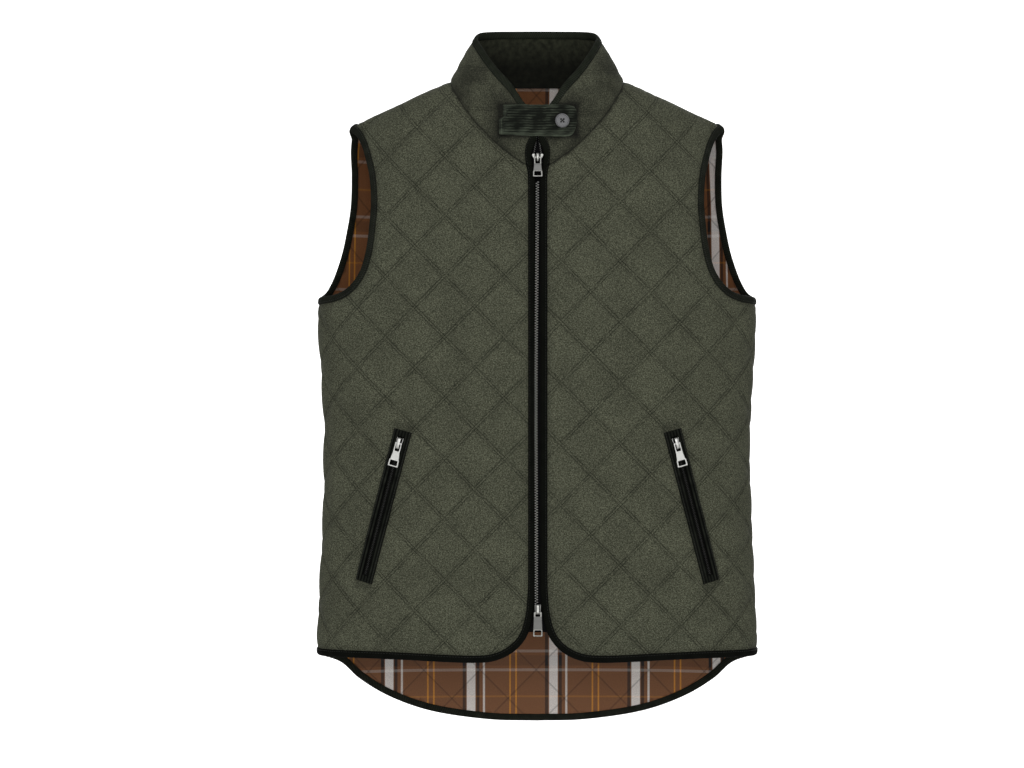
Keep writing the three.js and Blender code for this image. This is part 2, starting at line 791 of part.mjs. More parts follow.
function collarBinding() {
  const { bindingShare: topShare, columns, rows } = collar;
  const cornerTurn = collarEndTurn(topShare, seamGap);
  const clothEnd = collarEndTurn(clothTopShare, 0);
  const ends = levelsBetween(footShare(0), clothTopShare, rows).slice(0, -1).map((height) => ({
    from: { turn: collarEndTurn(height, seamGap), share: height },
    to: { turn: collarEndTurn(height, binding.width), share: height },
  }));
  const corner = {
    from: { turn: cornerTurn, share: topShare },
    to: { turn: collarEndTurn(1, binding.width), share: 1 },
  };
  const over = levelsBetween(clothEnd, 360 - clothEnd, columns).slice(1, -1).map((turn) => ({
    from: { turn, share: topShare },
    to: { turn, share: 1 },
  }));
  const otherSide = ({ from, to }) => ({
    from: { turn: 360 - from.turn, share: from.share },
    to: { turn: 360 - to.turn, share: to.share },
  });
  const all = [...ends, corner, ...over, otherSide(corner), ...ends.map(otherSide).reverse()];
  return skinOf(
    all.map(({ from, to }) =>
      collarBindingSection.map(({ share, t }) =>
        placeOnCollar(mix(from.turn, to.turn, share), mix(from.share, to.share, share), t),
      ),
    ),
    false,
  );
}

// The turn and share of the collar's wall at a place seen square on, near the centre front.
function collarSeenAt(x, z) {
  let [low, high] = [0, 75];
  const shareAt = (turn) => {
    const foot = collarFootOf(turn, 0);
    return (z - foot.z) / (collarFootOf(turn, 1).z - foot.z);
  };
  for (let i = 0; i < 40; i += 1) {
    const middle = (low + high) / 2;
    if (collarFootOf(middle, shareAt(middle)).x < Math.abs(x)) low = middle;
    else high = middle;
  }
  return { turn: x < 0 ? 360 - low : low, share: shareAt(low) };
}

// The throat tab lies across the collar's front, sewn on at its square end and buttoned at its pointed one.
const tab = {
  low: 2.7,
  high: 4.4,
  outline: [
    // x is where each line across the strap stands, and top and bottom are its two edges there
    { x: -42, top: -33, bottom: -65 },
    { x: -31, top: -32.5, bottom: -66 },
    { x: -20, top: -32, bottom: -66.5 },
    { x: -10, top: -32, bottom: -66.8 },
    { x: 0, top: -32, bottom: -67 },
    { x: 10, top: -32, bottom: -67.3 },
    { x: 20, top: -32.2, bottom: -67.8 },
    { x: 30, top: -32.5, bottom: -68 },
    { x: 38, top: -33, bottom: -67.5 },
    { x: 43, top: -38, bottom: -61 },
    { x: 48, top: -47, bottom: -52 },
  ],
};

const rightwards = (x, z, t) => {
  const { turn, share } = collarSeenAt(x, z);
  return placeOnCollar(turn, share, t);
};

function throatTab() {
  const rows = [0, 1 / 3, 2 / 3, 1];
  const sections = tab.outline.map(({ x, top, bottom }) => [
    ...rows.map((share) => rightwards(x, mix(bottom, top, share), tab.high)),
    ...rows.map((share) => rightwards(x, mix(top, bottom, share), tab.low)),
  ]);
  return skinOf(sections, false);
}

// Joining and cutting

function solidOf(geometry) {
  const plain = geometry.clone();
  plain.deleteAttribute("normal");
  plain.deleteAttribute("uv");
  const merged = mergeVertices(plain, 1e-4);
  const vertProperties = new Float32Array(merged.getAttribute("position").array);
  const triVerts = new Uint32Array(merged.getIndex().array);
  return new wasm.Manifold(new wasm.Mesh({ numProp: 3, vertProperties, triVerts }));
}

function geometryFrom(solid) {
  const { vertProperties, triVerts } = solid.getMesh();
  const geometry = new THREE.BufferGeometry();
  geometry.setAttribute("position", new THREE.Float32BufferAttribute(vertProperties, 3));
  geometry.setIndex([...triVerts]);
  return geometry;
}

const union = (...geometries) =>
  geometryFrom(geometries.map(solidOf).reduce((whole, each) => whole.add(each)));
const cut = (geometry, ...cutters) =>
  geometryFrom(cutters.map(solidOf).reduce((whole, each) => whole.subtract(each), solidOf(geometry)));

function plateOf(corners, depth, holes = []) {
  const shape = new THREE.Shape(corners.map(([x, y]) => new THREE.Vector2(x, y)));
  for (const hole of holes) shape.holes.push(new THREE.Path(hole.map(([x, y]) => new THREE.Vector2(x, y))));
  return new THREE.ExtrudeGeometry(shape, { depth, bevelEnabled: false });
}

const taper = (topY, topHalf, bottomY, bottomHalf) => [
  [-topHalf, topY],
  [-bottomHalf, bottomY],
  [bottomHalf, bottomY],
  [topHalf, topY],
];

// Tab button: a dished disc with a rim and four holes, in its own frame with z out
const button = { radius: 8, rim: 1.5, thick: 3, dish: 0.7, holeRadius: 0.9, holePitch: 2.1, x: 26.7, z: -50.5 };

function buttonSolid() {
  const { radius, rim, thick, dish } = button;
  const profile = [
    [0, 0],
    [radius - 1.2, 0],
    [radius, 0.9],
    [radius, thick - 0.6],
    [radius - 0.6, thick],
    [radius - rim, thick],
    [radius - rim - 0.8, thick - dish],
    [0, thick - dish],
  ].map(([x, y]) => new THREE.Vector2(x, y));
  const disc = new THREE.LatheGeometry(profile, 28).rotateX(Math.PI / 2);
  const holes = [-1, 1].flatMap((i) =>
    [-1, 1].map((j) =>
      new THREE.CylinderGeometry(button.holeRadius, button.holeRadius, 3 * thick, 8)
        .rotateX(Math.PI / 2)
        .translate((i * button.holePitch) / Math.SQRT2, (j * button.holePitch) / Math.SQRT2, 0),
    ),
  );
  return cut(disc, ...holes);
}

// Zips

// The centre zip: two tapes behind the bindings, and a closed row of teeth between them.
const zip = {
  topZ: -90,
  bottomZ: -586,
  tapeTopShare: 0.8, // of the collar's height
  tapeTurnZ: -114, // from here down the tapes lie behind the fronts
  tapeBottomZ: -612,
  tapeInner: 0.4,
  tapeOuter: 16,
  tape: { low: -2.7, high: -1.8 },
  tapeOnCollar: { low: -3.7, high: -2.8 },
  chainHalf: 2.1,
  chain: { low: -1.5, high: 2 },
};

function zipTeeth() {
  const { topZ, bottomZ, chainHalf, chain } = zip;
  return skinOf(
    levelsBetween(topZ, bottomZ, 26).map((z) => [
      place(FRONT, -chainHalf, z, chain.low),
      place(FRONT, chainHalf, z, chain.low),
      place(FRONT, chainHalf, z, chain.high),
      place(FRONT, -chainHalf, z, chain.high),
    ]),
    false,
  );
}

// A tape lies behind the binding of its front, and goes on up behind the end of the collar.
function zipTape(wearer) {
  const { tapeTopShare, tapeTurnZ, tapeBottomZ, tapeInner, tapeOuter, tape, tapeOnCollar } = zip;
  const corners = ({ low, high }) => [[tapeInner, low], [tapeOuter, low], [tapeOuter, high], [tapeInner, high]];
  const onCollar = levelsBetween(tapeTopShare, 0.02, 3).map((share) =>
    corners(tapeOnCollar).map(([x, t]) => placeOnCollar(turnAtX(x, share), share, t)),
  );
  const below = levelsBetween(tapeTurnZ, tapeBottomZ, 26).map((z) =>
    corners(tape).map(([x, t]) => place(FRONT, x, z, t)),
  );
  const sections = [...onCollar, ...below];
  const turned = sections.map((section) => section.map((v) => v.setX(wearer * v.x)));
  return skinOf(turned, false);
}

// Sliders and pulls have a frame of their own: x across, y up along the zip, z out, and the hinge on x.
const slider = {
  plate: 1.3,
  boss: 0.7,
  bossHalf: 1.8,
  bridgeHalf: 1.5,
  bridgeWall: 1,
  bridgeRoom: 1.75,
};
const hingeRise = slider.boss + slider.plate + slider.bridgeRoom; // from the slider's lowest face to the hinge
const pull = { thick: 1.3, topHalf: 3.7, eye: 1.2, eyeHalf: 2.3, rim: 1.4, hole: 5 };

// A slider reaches above and below its hinge, and its bridge spans nearly all of that.
function sliderSolid({ above, below, topHalf, bottomHalf }) {
  const { plate, boss, bossHalf, bridgeHalf, bridgeWall, bridgeRoom } = slider;
  const plateTop = -bridgeRoom;
  const body = plateOf(taper(above, topHalf, -below, bottomHalf), plate);
  body.translate(0, 0, plateTop - plate);
  const foot = new THREE.BoxGeometry(2 * bossHalf, above + below - 1, boss + 0.4);
  foot.translate(0, (above - below) / 2, plateTop - plate - boss / 2 + 0.2);
  const outer = bridgeRoom + bridgeWall;
  const sunk = plateTop - 0.5;
  const profile = new THREE.Shape();
  const turnAt = outer - below; // the middle of the bridge's rounded lower end
  profile.moveTo(turnAt - outer, sunk);
  profile.lineTo(turnAt - bridgeRoom, sunk);
  profile.lineTo(turnAt - bridgeRoom, 0);
  profile.absarc(turnAt, 0, bridgeRoom, Math.PI, Math.PI / 2, true);
  profile.lineTo(above - 2 * bridgeWall, bridgeRoom);
  profile.lineTo(above - 2 * bridgeWall, sunk);
  profile.lineTo(above - bridgeWall, sunk);
  profile.lineTo(above - bridgeWall, bridgeRoom);
  profile.lineTo(above - 2 * bridgeWall, outer);
  profile.lineTo(turnAt, outer);
  profile.absarc(turnAt, 0, outer, Math.PI / 2, Math.PI, false);
  const bridge = new THREE.ExtrudeGeometry(profile, { depth: 2 * bridgeHalf, bevelEnabled: false, curveSegments: 6 });
  // the profile's x is the slider's y and its y is the slider's z
  bridge.applyMatrix4(new THREE.Matrix4().set(0, 0, 1, -bridgeHalf, 1, 0, 0, 0, 0, 1, 0, 0, 0, 0, 0, 1));
  return union(body, foot, bridge);
}

function pullSolid({ length, endHalf, eyeEnd }) {
  const { thick, topHalf, eye, eyeHalf, rim, hole } = pull;
  const neck = -eyeEnd - 1.4;
  const outline = [
    [-topHalf, eye],
    [-topHalf, neck],
    [-endHalf, -length],
    [endHalf, -length],
    [topHalf, neck],
    [topHalf, eye],
  ];
  const window = taper(-eye, eyeHalf, -eyeEnd, eyeHalf);
  const ring = taper(-length + rim + hole, endHalf - rim - 0.5, -length + rim, endHalf - rim);
  return plateOf(outline, thick, [window, ring]).translate(0, 0, -thick / 2);
}

// The frame of a slider: its hinge, with x across the zip, y up along it and z out.
function zipFrame(wearer, at, upAt, base) {
  const foot = place(FRONT, wearer * at.p, at.z, 0);
  const up = place(FRONT, wearer * upAt.p, upAt.z, 0).sub(foot).normalize();
  const out = outwardAt(FRONT, wearer * at.p, at.z);
  const across = up.clone().cross(out).normalize();
  const trueOut = across.clone().cross(up);
  const matrix = new THREE.Matrix4().makeBasis(across, up, trueOut);
  matrix.setPosition(foot.addScaledVector(trueOut, base + hingeRise));
  return matrix;
}

// The four sliders, by where their hinge is
const centreSliders = {
  top: { z: -91.3, above: 4.8, below: 2.8, topHalf: 6.2, bottomHalf: 4.2, length: 21.5, endHalf: 5, eyeEnd: 5.8 },
  bottom: { z: -590.2, above: 9, below: 2.8, topHalf: 3.4, bottomHalf: 4.4, length: 25.8, endHalf: 5, eyeEnd: 5 },
};
const centreBase = zip.chain.high + seamGap;
const pocketZip = {
  hingeDown: 14.4,
  above: 6.3,
  below: 6.3,
  topHalf: 4.4,
  bottomHalf: 3.4,
  length: 28.4,
  endHalf: 5.7,
  eyeEnd: 9.6,
  chainHalf: 2.3,
  chain: { low: pocket.low, high: pocket.low + 1 },
};
const pocketBase = pocketZip.chain.high + seamGap;

function pocketWelt(wearer) {
  const { length, halfWidth, endWelt, slotHalf, low, high } = pocket;
  const steps = 8;
  const outer = pocketOblong(wearer, 0, length, halfWidth, steps);
  const inner = pocketOblong(wearer, endWelt, length - endWelt, slotHalf, steps);
  return skinOf(
    outer.map((from, i) => {
      const to = inner[i];
      return [
        place(FRONT, from.p, from.z, low),
        place(FRONT, to.p, to.z, low),
        place(FRONT, to.p, to.z, high),
        place(FRONT, from.p, from.z, high - 0.5),
      ];
    }),
    true,
  );
}

function pocketChain(wearer) {
  const { length, endWelt } = pocket;
  const { chainHalf, chain } = pocketZip;
  const downs = levelsBetween(endWelt + 0.5, length - endWelt - 0.5, 8);
  return skinOf(
    downs.map((down) => {
      const near = onPocket(wearer, down, -chainHalf);
      const far = onPocket(wearer, down, chainHalf);
      return [
        place(FRONT, near.p, near.z, chain.low),
        place(FRONT, far.p, far.z, chain.low),
        place(FRONT, far.p, far.z, chain.high),
        place(FRONT, near.p, near.z, chain.high),
      ];
    }),
    false,
  );
}

// The vest

const finishes = {
  shell: new THREE.MeshStandardMaterial({ color: 0x45473a, roughness: 0.95, metalness: 0 }),
  lining: new THREE.MeshStandardMaterial({ color: 0x694c3c, roughness: 0.6, metalness: 0 }),
  binding: new THREE.MeshStandardMaterial({ color: 0x191b16, roughness: 0.9, metalness: 0 }),
  facing: new THREE.MeshStandardMaterial({ color: 0x2a2c22, roughness: 0.95, metalness: 0 }),
  corduroy: new THREE.MeshStandardMaterial({ color: 0x242720, roughness: 0.9, metalness: 0 }),
  tape: new THREE.MeshStandardMaterial({ color: 0x17181a, roughness: 0.85, metalness: 0 }),
  teeth: new THREE.MeshStandardMaterial({ color: 0x6b6b68, roughness: 0.4, metalness: 0.8 }),
  nickel: new THREE.MeshStandardMaterial({ color: 0xc9c9c6, roughness: 0.25, metalness: 1 }),
  horn: new THREE.MeshStandardMaterial({ color: 0x545455, roughness: 0.5, metalness: 0 }),
};

const vest = new THREE.Group();

function addPiece(name, geometry, finish, matrix) {
  const mesh = new THREE.Mesh(geometry, finish);
  mesh.name = name;
  if (matrix) mesh.applyMatrix4(matrix);
  vest.add(mesh);
  return mesh;
}

const wearers = { right: RIGHT, left: LEFT };

for (const [name, wearer] of Object.entries(wearers)) {
  const outline = forWearer(wearer, frontOutline);
  const rolls = rollPlaces(FRONT, forWearer(wearer, frontRuns.shoulder), wearer);
  const pattern = cutPattern(outline, quilt.front[wearer], rolls, flatUnderPocket(wearer));
  const front = panelSolid(FRONT, pattern, cloth.lining, cloth.shell, true);
  addPiece("front_" + name, front, finishes.shell);
  addPiece("front_binding_" + name, frontBinding(wearer), finishes.binding);
  addPiece("armhole_binding_" + name, armholeBinding(wearer), finishes.binding);
  addPiece("pocket_welt_" + name, pocketWelt(wearer), finishes.corduroy);
  addPiece("pocket_zip_" + name, pocketChain(wearer), finishes.teeth);
  addPiece("zip_tape_" + name, zipTape(wearer), finishes.tape);
}

const backRolls = [LEFT, RIGHT].flatMap((wearer) => rollPlaces(BACK, forWearer(wearer, backRuns.shoulder), wearer));
const backPattern = cutPattern(backOutline, quilt.back, backRolls);
addPiece("back", panelSolid(BACK, backPattern, 0, cloth.shell, true), finishes.shell);
const liningSolid = panelSolid(BACK, backPattern, liningLayer.inner, liningLayer.outer, false);
addPiece("back_lining", liningSolid, finishes.lining);
addPiece("tail_binding", tailBinding(), finishes.binding);

addPiece("collar", collarWall(collar.shell), finishes.shell);
addPiece("collar_facing", collarWall(collar.facing), finishes.facing);
addPiece("collar_binding", collarBinding(), finishes.binding);
addPiece("throat_tab", throatTab(), finishes.corduroy);

const buttonAt = collarSeenAt(button.x, button.z);
const buttonFoot = placeOnCollar(buttonAt.turn, buttonAt.share, tab.high + layGap);
const buttonOut = placeOnCollar(buttonAt.turn, buttonAt.share, tab.high + 1 + layGap).sub(buttonFoot).normalize();
const buttonTurn = new THREE.Quaternion().setFromUnitVectors(new THREE.Vector3(0, 0, 1), buttonOut);
const buttonMatrix = new THREE.Matrix4().compose(buttonFoot, buttonTurn, new THREE.Vector3(1, 1, 1));
addPiece("tab_button", buttonSolid(), finishes.horn, buttonMatrix);

addPiece("zip_teeth", zipTeeth(), finishes.teeth);

for (const [name, one] of Object.entries(centreSliders)) {
  const frame = zipFrame(LEFT, { p: 0, z: one.z }, { p: 0, z: one.z + 3 }, centreBase);
  addPiece("zip_slider_" + name, sliderSolid(one), finishes.nickel, frame);
  addPiece("zip_pull_" + name, pullSolid(one), finishes.nickel, frame);
}
for (const [name, wearer] of Object.entries(wearers)) {
  const at = onPocket(1, pocketZip.hingeDown, 0);
  const upAt = onPocket(1, pocketZip.hingeDown - 3, 0);
  const frame = zipFrame(wearer, at, upAt, pocketBase);
  addPiece("pocket_slider_" + name, sliderSolid(pocketZip), finishes.nickel, frame);
  addPiece("pocket_pull_" + name, pullSolid(pocketZip), finishes.nickel, frame);
}

export default vest;
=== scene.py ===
# A quilted vest with a stand collar, a throat tab, a two-way front zip and two zipped pockets, filled
# out as if worn. Pattern sizes are in millimetres: p is the way round from the centre front or the
# centre back, z the height, and t the distance out from the body.
import json
import math

import bpy
import numpy as np
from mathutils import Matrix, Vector
from mathutils.geometry import delaunay_2d_cdt

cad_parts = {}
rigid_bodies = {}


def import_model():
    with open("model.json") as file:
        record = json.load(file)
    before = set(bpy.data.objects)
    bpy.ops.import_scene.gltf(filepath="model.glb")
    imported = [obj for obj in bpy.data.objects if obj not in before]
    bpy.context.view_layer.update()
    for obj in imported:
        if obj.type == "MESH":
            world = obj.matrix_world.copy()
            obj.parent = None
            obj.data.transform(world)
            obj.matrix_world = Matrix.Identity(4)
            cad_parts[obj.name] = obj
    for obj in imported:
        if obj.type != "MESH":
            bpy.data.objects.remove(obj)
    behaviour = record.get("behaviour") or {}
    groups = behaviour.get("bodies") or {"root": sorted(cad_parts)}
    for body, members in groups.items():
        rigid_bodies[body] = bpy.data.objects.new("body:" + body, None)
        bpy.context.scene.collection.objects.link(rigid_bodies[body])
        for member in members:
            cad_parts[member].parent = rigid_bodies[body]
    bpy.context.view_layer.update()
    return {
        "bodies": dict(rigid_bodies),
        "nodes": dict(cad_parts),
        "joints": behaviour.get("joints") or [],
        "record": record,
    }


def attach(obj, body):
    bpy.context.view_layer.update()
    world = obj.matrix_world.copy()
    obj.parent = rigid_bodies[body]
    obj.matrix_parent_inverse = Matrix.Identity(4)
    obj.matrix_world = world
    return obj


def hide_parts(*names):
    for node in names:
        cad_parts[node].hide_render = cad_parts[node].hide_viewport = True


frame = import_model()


# Camera, light and floor: a white studio with a broad soft light in front of and above the vest, a
# smaller one low in front of it, one behind, and a pale paper sweep that runs up at the back.

def add_node(tree, kind, inputs=None, stops=(), **settings):
    """Add a node with its settings, its inputs as values or as outputs to link, and a ramp's stops."""
    made = tree.nodes.new("ShaderNode" + kind)
    for name, value in settings.items():
        setattr(made, name, value)
    for socket, value in (inputs or {}).items():
        if isinstance(value, bpy.types.NodeSocket):
            tree.links.new(value, made.inputs[socket])
        else:
            made.inputs[socket].default_value = value
    # A new ramp has a first and a last stop, which come first in the list, before those between them.
    for k, (position, colour) in enumerate(stops):
        stop = made.color_ramp.elements[k] if k < 2 else made.color_ramp.elements.new(position)
        stop.position, stop.color = position, linear(colour)
    return made.outputs


def linear(colour):
    """An sRGB hex colour as linear red, green, blue and alpha."""
    shares = [int(colour[i:i + 2], 16) / 255 for i in (1, 3, 5)]
    return (*(s / 12.92 if s <= 0.04045 else ((s + 0.055) / 1.055) ** 2.4 for s in shares), 1)


def new_material(name):
    """A material with an empty node tree."""
    made = bpy.data.materials.new(name)
    made.use_nodes = True
    made.node_tree.nodes.clear()
    return made, made.node_tree


MM = 0.001

camera = bpy.data.objects.new("camera", bpy.data.cameras.new("camera"))
bpy.context.scene.collection.objects.link(camera)
camera.data.sensor_width = 36
camera.data.lens = 93.34
camera.data.clip_end = 50
camera.location = (-0.02825, -3.0, -0.34)
camera.rotation_euler = (math.radians(90), 0, 0)
bpy.context.scene.camera = camera
bpy.context.scene.view_settings.view_transform = "Standard"

lit_middle = Vector((0, 0, -0.35))
# name, place, size in metres, power in watts
for name, place_at, size, power in (
    ("front_light", (-0.35, -3.3, 1.7), 3.4, 44),
    ("low_light", (0.2, -3.6, -0.15), 1.8, 26),
    ("back_light", (0.4, 3.4, 0.9), 3.0, 75),
):
    lamp = bpy.data.objects.new(name, bpy.data.lights.new(name, "AREA"))
    bpy.context.scene.collection.objects.link(lamp)
    lamp.data.size = size
    lamp.data.energy = power
    lamp.visible_camera = False
    lamp.location = place_at
    lamp.rotation_euler = (lit_middle - Vector(place_at)).to_track_quat("-Z", "Y").to_euler()

world = bpy.data.worlds.new("studio")
bpy.context.scene.world = world
world.use_nodes = True
world.node_tree.nodes.clear()
air = add_node(world.node_tree, "Background", {"Color": (1, 1, 1, 1), "Strength": 0.33})
add_node(world.node_tree, "OutputWorld", {"Surface": air["Background"]})

# White paper that glows a little where it rises behind the vest, and not in front of it or far to the
# sides, so that a dark garment stands on white and still has its own shadows.
paper, tree = new_material("white_paper_sweep")
paper_at = add_node(tree, "NewGeometry")["Position"]
paper_at = add_node(tree, "SeparateXYZ", {"Vector": paper_at})
paper_x = add_node(tree, "Math", {0: paper_at["X"]}, operation="ABSOLUTE")["Value"]
lit = 0.98
for way, dark, bright in ((paper_at["Y"], 3.7, 4.2), (paper_x, 3.8, 1.9), (paper_at["Z"], 2.8, 1.15)):
    edge = add_node(tree, "MapRange", {"Value": way, "From Min": dark, "From Max": bright})["Result"]
    lit = add_node(tree, "Math", {0: lit, 1: edge}, operation="MULTIPLY")["Value"]
pale = add_node(tree, "Mix", {
    "Factor": lit, "A": linear("#dededc"), "B": linear("#f4f4f2"),
}, data_type="RGBA")[2]
matt = add_node(tree, "BsdfPrincipled", {
    "Base Color": pale, "Roughness": 0.9, "Specular IOR Level": 0.2,
    "Emission Color": (1, 1, 1, 1), "Emission Strength": lit,
})
add_node(tree, "OutputMaterial", {"Surface": matt["BSDF"]})

floor_z, sweep_start, sweep_y, sweep_r, sweep_top, sweep_half = -1.4, -7, 4.6, 0.9, 4.0, 9
profile = [(sweep_start, floor_z)]
profile += [
    (sweep_y + sweep_r * math.sin(a), floor_z + sweep_r * (1 - math.cos(a)))
    for a in np.linspace(0, math.pi / 2, 16)
]
profile.append((sweep_y + sweep_r, sweep_top))
sweep_mesh = bpy.data.meshes.new("sweep")
sweep_mesh.from_pydata(
    [(x, y, z) for y, z in profile for x in (-sweep_half, sweep_half)], [],
    [(2 * i, 2 * i + 1, 2 * i + 3, 2 * i + 2) for i in range(len(profile) - 1)],
)
sweep_mesh.shade_smooth()
sweep_mesh.materials.append(paper)
sweep = bpy.data.objects.new("sweep", sweep_mesh)
bpy.context.scene.collection.objects.link(sweep)


# The two fronts: wool twill outside, a thin wadding and the lining, sewn together in diamonds by a
# twin needle. Each is cut flat, then curved round the chest from the centre front to the side seam.

FRONT, BACK = -1, 1
RIGHT, LEFT = -1, 1  # the wearer's

# height, half width, depth in front, depth behind, squareness
body_levels = np.array([
    (-760, 250, 91, 98, 3), (-650, 246, 91, 95, 3), (-500, 239, 90, 90, 3), (-390, 237, 90, 89, 3),
    (-245, 244, 91, 97, 3), (-150, 236, 83, 96, 2.8), (-95, 230, 75, 91, 2.6), (-50, 225, 69, 83, 2.5),
    (0, 219, 62, 71, 2.4), (30, 214, 56, 58, 2.3),
])
shoulder_neck, shoulder_slope, shoulder_ease = 97, 0.475, 40
shoulder_roll, roll_power = 105, 2.2
shoulder_tilt = math.atan(shoulder_slope)


def smooth_through(at, x, y, slope):
    """A smooth curve through places in rising x, with a slope at each."""
    i = np.clip(np.searchsorted(x, at, side="right") - 1, 0, len(x) - 2)
    step = x[i + 1] - x[i]
    u = np.clip((at - x[i]) / step, 0, 1)
    return (
        y[i] * (1 + 2 * u) * (1 - u) ** 2 + slope[i] * step * u * (1 - u) ** 2
        + y[i + 1] * u * u * (3 - 2 * u) + slope[i + 1] * step * u * u * (u - 1)
    )


def chord_slopes(x, y):
    """The slope at each place, from its neighbours on both sides."""
    slope = np.empty_like(y)
    slope[1:-1] = (y[2:] - y[:-2]) / (x[2:] - x[:-2])
    slope[0], slope[-1] = (y[1] - y[0]) / (x[1] - x[0]), (y[-1] - y[-2]) / (x[-1] - x[-2])
    return slope


def level_value(column, z):
    heights, values = body_levels[:, 0], body_levels[:, column]
    return smooth_through(np.asarray(z, float), heights, values, chord_slopes(heights, values))


def shoulder_height(x):
    return shoulder_slope * (math.hypot(shoulder_neck, shoulder_ease) - np.hypot(x, shoulder_ease))


def depth_at(side, x, z):
    """How far the body stands out from the plane y = 0."""
    power = level_value(4, z)
    across = np.minimum(1, np.abs(x) / level_value(1, z))
    rounded = (1 - across ** power) ** (1 / power)
    below = np.clip(shoulder_height(x) - z, 0, shoulder_roll) / shoulder_roll
    roll = (1 - (1 - below) ** roll_power) ** (1 / roll_power)
    return level_value(2 if side == FRONT else 3, z) * rounded * roll


def edge_x(z):
    """Half the width of the body at a height."""
    reach = math.hypot(shoulder_neck, shoulder_ease) - z / shoulder_slope
    return np.minimum(level_value(1, z), np.sqrt(np.maximum(0, reach ** 2 - shoulder_ease ** 2)))


def way_along(line):
    """The way along a line of points, from its first to each."""
    return np.r_[0, np.cumsum(np.linalg.norm(np.diff(line, axis=0), axis=1))]


# The body as rings, one to each millimetre of height, in even steps of the way round.
ring_top, ring_bottom, ring_steps = 40, -772, 360
ring_heights = np.arange(ring_top, ring_bottom, -1.0)
rings = {}
for side in (FRONT, BACK):
    turns = np.sin(np.linspace(0, np.pi / 2, 420))
    xs, ys, lengths = [], [], []
    for z in ring_heights:
        x = edge_x(z) * turns
        y = depth_at(side, x, np.full_like(x, z))
        way = way_along(np.column_stack([x, y]))
        even = np.linspace(0, way[-1], ring_steps + 1)
        xs.append(np.interp(even, way, x))
        ys.append(np.interp(even, way, y))
        lengths.append(way[-1])
    rings[side] = np.array(xs), np.array(ys), np.array(lengths)


def side_p(side, z):
    return np.interp(ring_top - np.asarray(z, float), ring_top - ring_heights, rings[side][2])


def way_round(side, x, z):
    """The way round to a place given as seen square on."""
    row = np.clip(ring_top - z, 0, len(ring_heights) - 1.001)
    i, share = int(row), row - int(row)
    xs = rings[side][0][i] * (1 - share) + rings[side][0][i + 1] * share
    return np.sign(x) * np.interp(abs(x), xs, np.linspace(0, side_p(side, z), ring_steps + 1))


def foot_of(side, p, z):
    """The point of the body at a pattern place."""
    xs, ys, _ = rings[side]
    row = np.clip(ring_top - z, 0, len(ring_heights) - 1.001)
    step = np.clip(np.abs(p) / side_p(side, z), 0, 1) * (ring_steps - 0.001)
    i, k = row.astype(int), step.astype(int)
    down, on = row - i, step - k
    x, y = (
        (g[i, k] * (1 - on) + g[i, k + 1] * on) * (1 - down)
        + (g[i + 1, k] * (1 - on) + g[i + 1, k + 1] * on) * down
        for g in (xs, ys)
    )
    return np.stack([np.sign(p) * x, side * y, z], axis=-1)


def spread(*values):
    """Numbers and arrays brought to one shape."""
    return np.broadcast_arrays(*(np.asarray(value, float) for value in values))


def unit(ways):
    """Directions made one long."""
    return ways / np.linalg.norm(ways, axis=-1, keepdims=True)


def place(side, p, z, t):
    """Points a distance t out from the body at pattern places."""
    p, z, t = spread(p, z, t)
    foot = foot_of(side, p, z)
    near, probe = 0.999 * foot[..., 0], 0.25
    across = (depth_at(side, near + probe, z) - depth_at(side, near - probe, z)) / (2 * probe)
    up = (depth_at(side, near, z + probe) - depth_at(side, near, z - probe)) / (2 * probe)
    return foot + unit(np.stack([-across, np.full_like(across, side), -up], axis=-1)) * t[..., None]


def smooth_run(side, places, spacing):
    """Even places along a smooth line through a few places of a cut edge."""
    places = np.array(places, float)
    knots = np.r_[0, np.cumsum(np.sqrt(np.linalg.norm(np.diff(places, axis=0), axis=1)))]
    at = np.linspace(0, knots[-1], 1200)
    p, z = (smooth_through(at, knots, places[:, k], np.gradient(places[:, k], knots)) for k in (0, 1))
    way = way_along(foot_of(side, p, z))
    even = np.linspace(0, way[-1], max(2, round(way[-1] / spacing)) + 1)
    return np.stack([np.interp(even, way, p), np.interp(even, way, z)], axis=1)


edge_spacing = 3.0
neck_half, neck_drop, neck_power, neck_rise = 97, 103, 1.35, 4
front_edge_x, edge_top = 9.6, -97  # beside the zip, and where that edge meets the neck seam
seam_gap = 0.05


def falloff(away, width):
    """1 at no distance, and almost nothing at twice the width."""
    return np.exp(-(away / width) ** 2)


def front_neck_z(x):
    return -neck_drop * (1 - np.clip(x / neck_half, 0, 1) ** neck_power) ** (1 / neck_power)


def back_neck_z(x):
    return neck_rise * (1 - (x / neck_half) ** 2)


def edge_beside_zip(z):
    """Where a front ends beside the zip: the edges part a little round the top slider."""
    return front_edge_x + 4.2 * falloff(z + 88, 13) - 5.5 * falloff(z + 60, 11)


def seam_place(side, z):
    return float(side_p(side, z)) - seam_gap, z


def seam_run(side, top, bottom):
    return smooth_run(side, [seam_place(side, z) for z in np.linspace(top, bottom, 25)], edge_spacing)


def neck_run(side):
    first = float(edge_beside_zip(edge_top)) if side == FRONT else 0
    height = front_neck_z if side == FRONT else back_neck_z
    places = []
    for turn in np.linspace(math.asin(first / neck_half), math.pi / 2, 40):
        x = neck_half * math.sin(turn)
        z = float(height(x))
        places.append((min(float(way_round(side, x, z)), seam_place(side, z)[0]), z))
    return smooth_run(side, places, edge_spacing)


def seen_run(side, places, before=(), after=()):
    """An edge through places given as seen square on, with its two ends on the seams."""
    turned = [(float(way_round(side, x, z)), z) for x, z in places]
    return smooth_run(side, [*before, *turned, *after], edge_spacing)


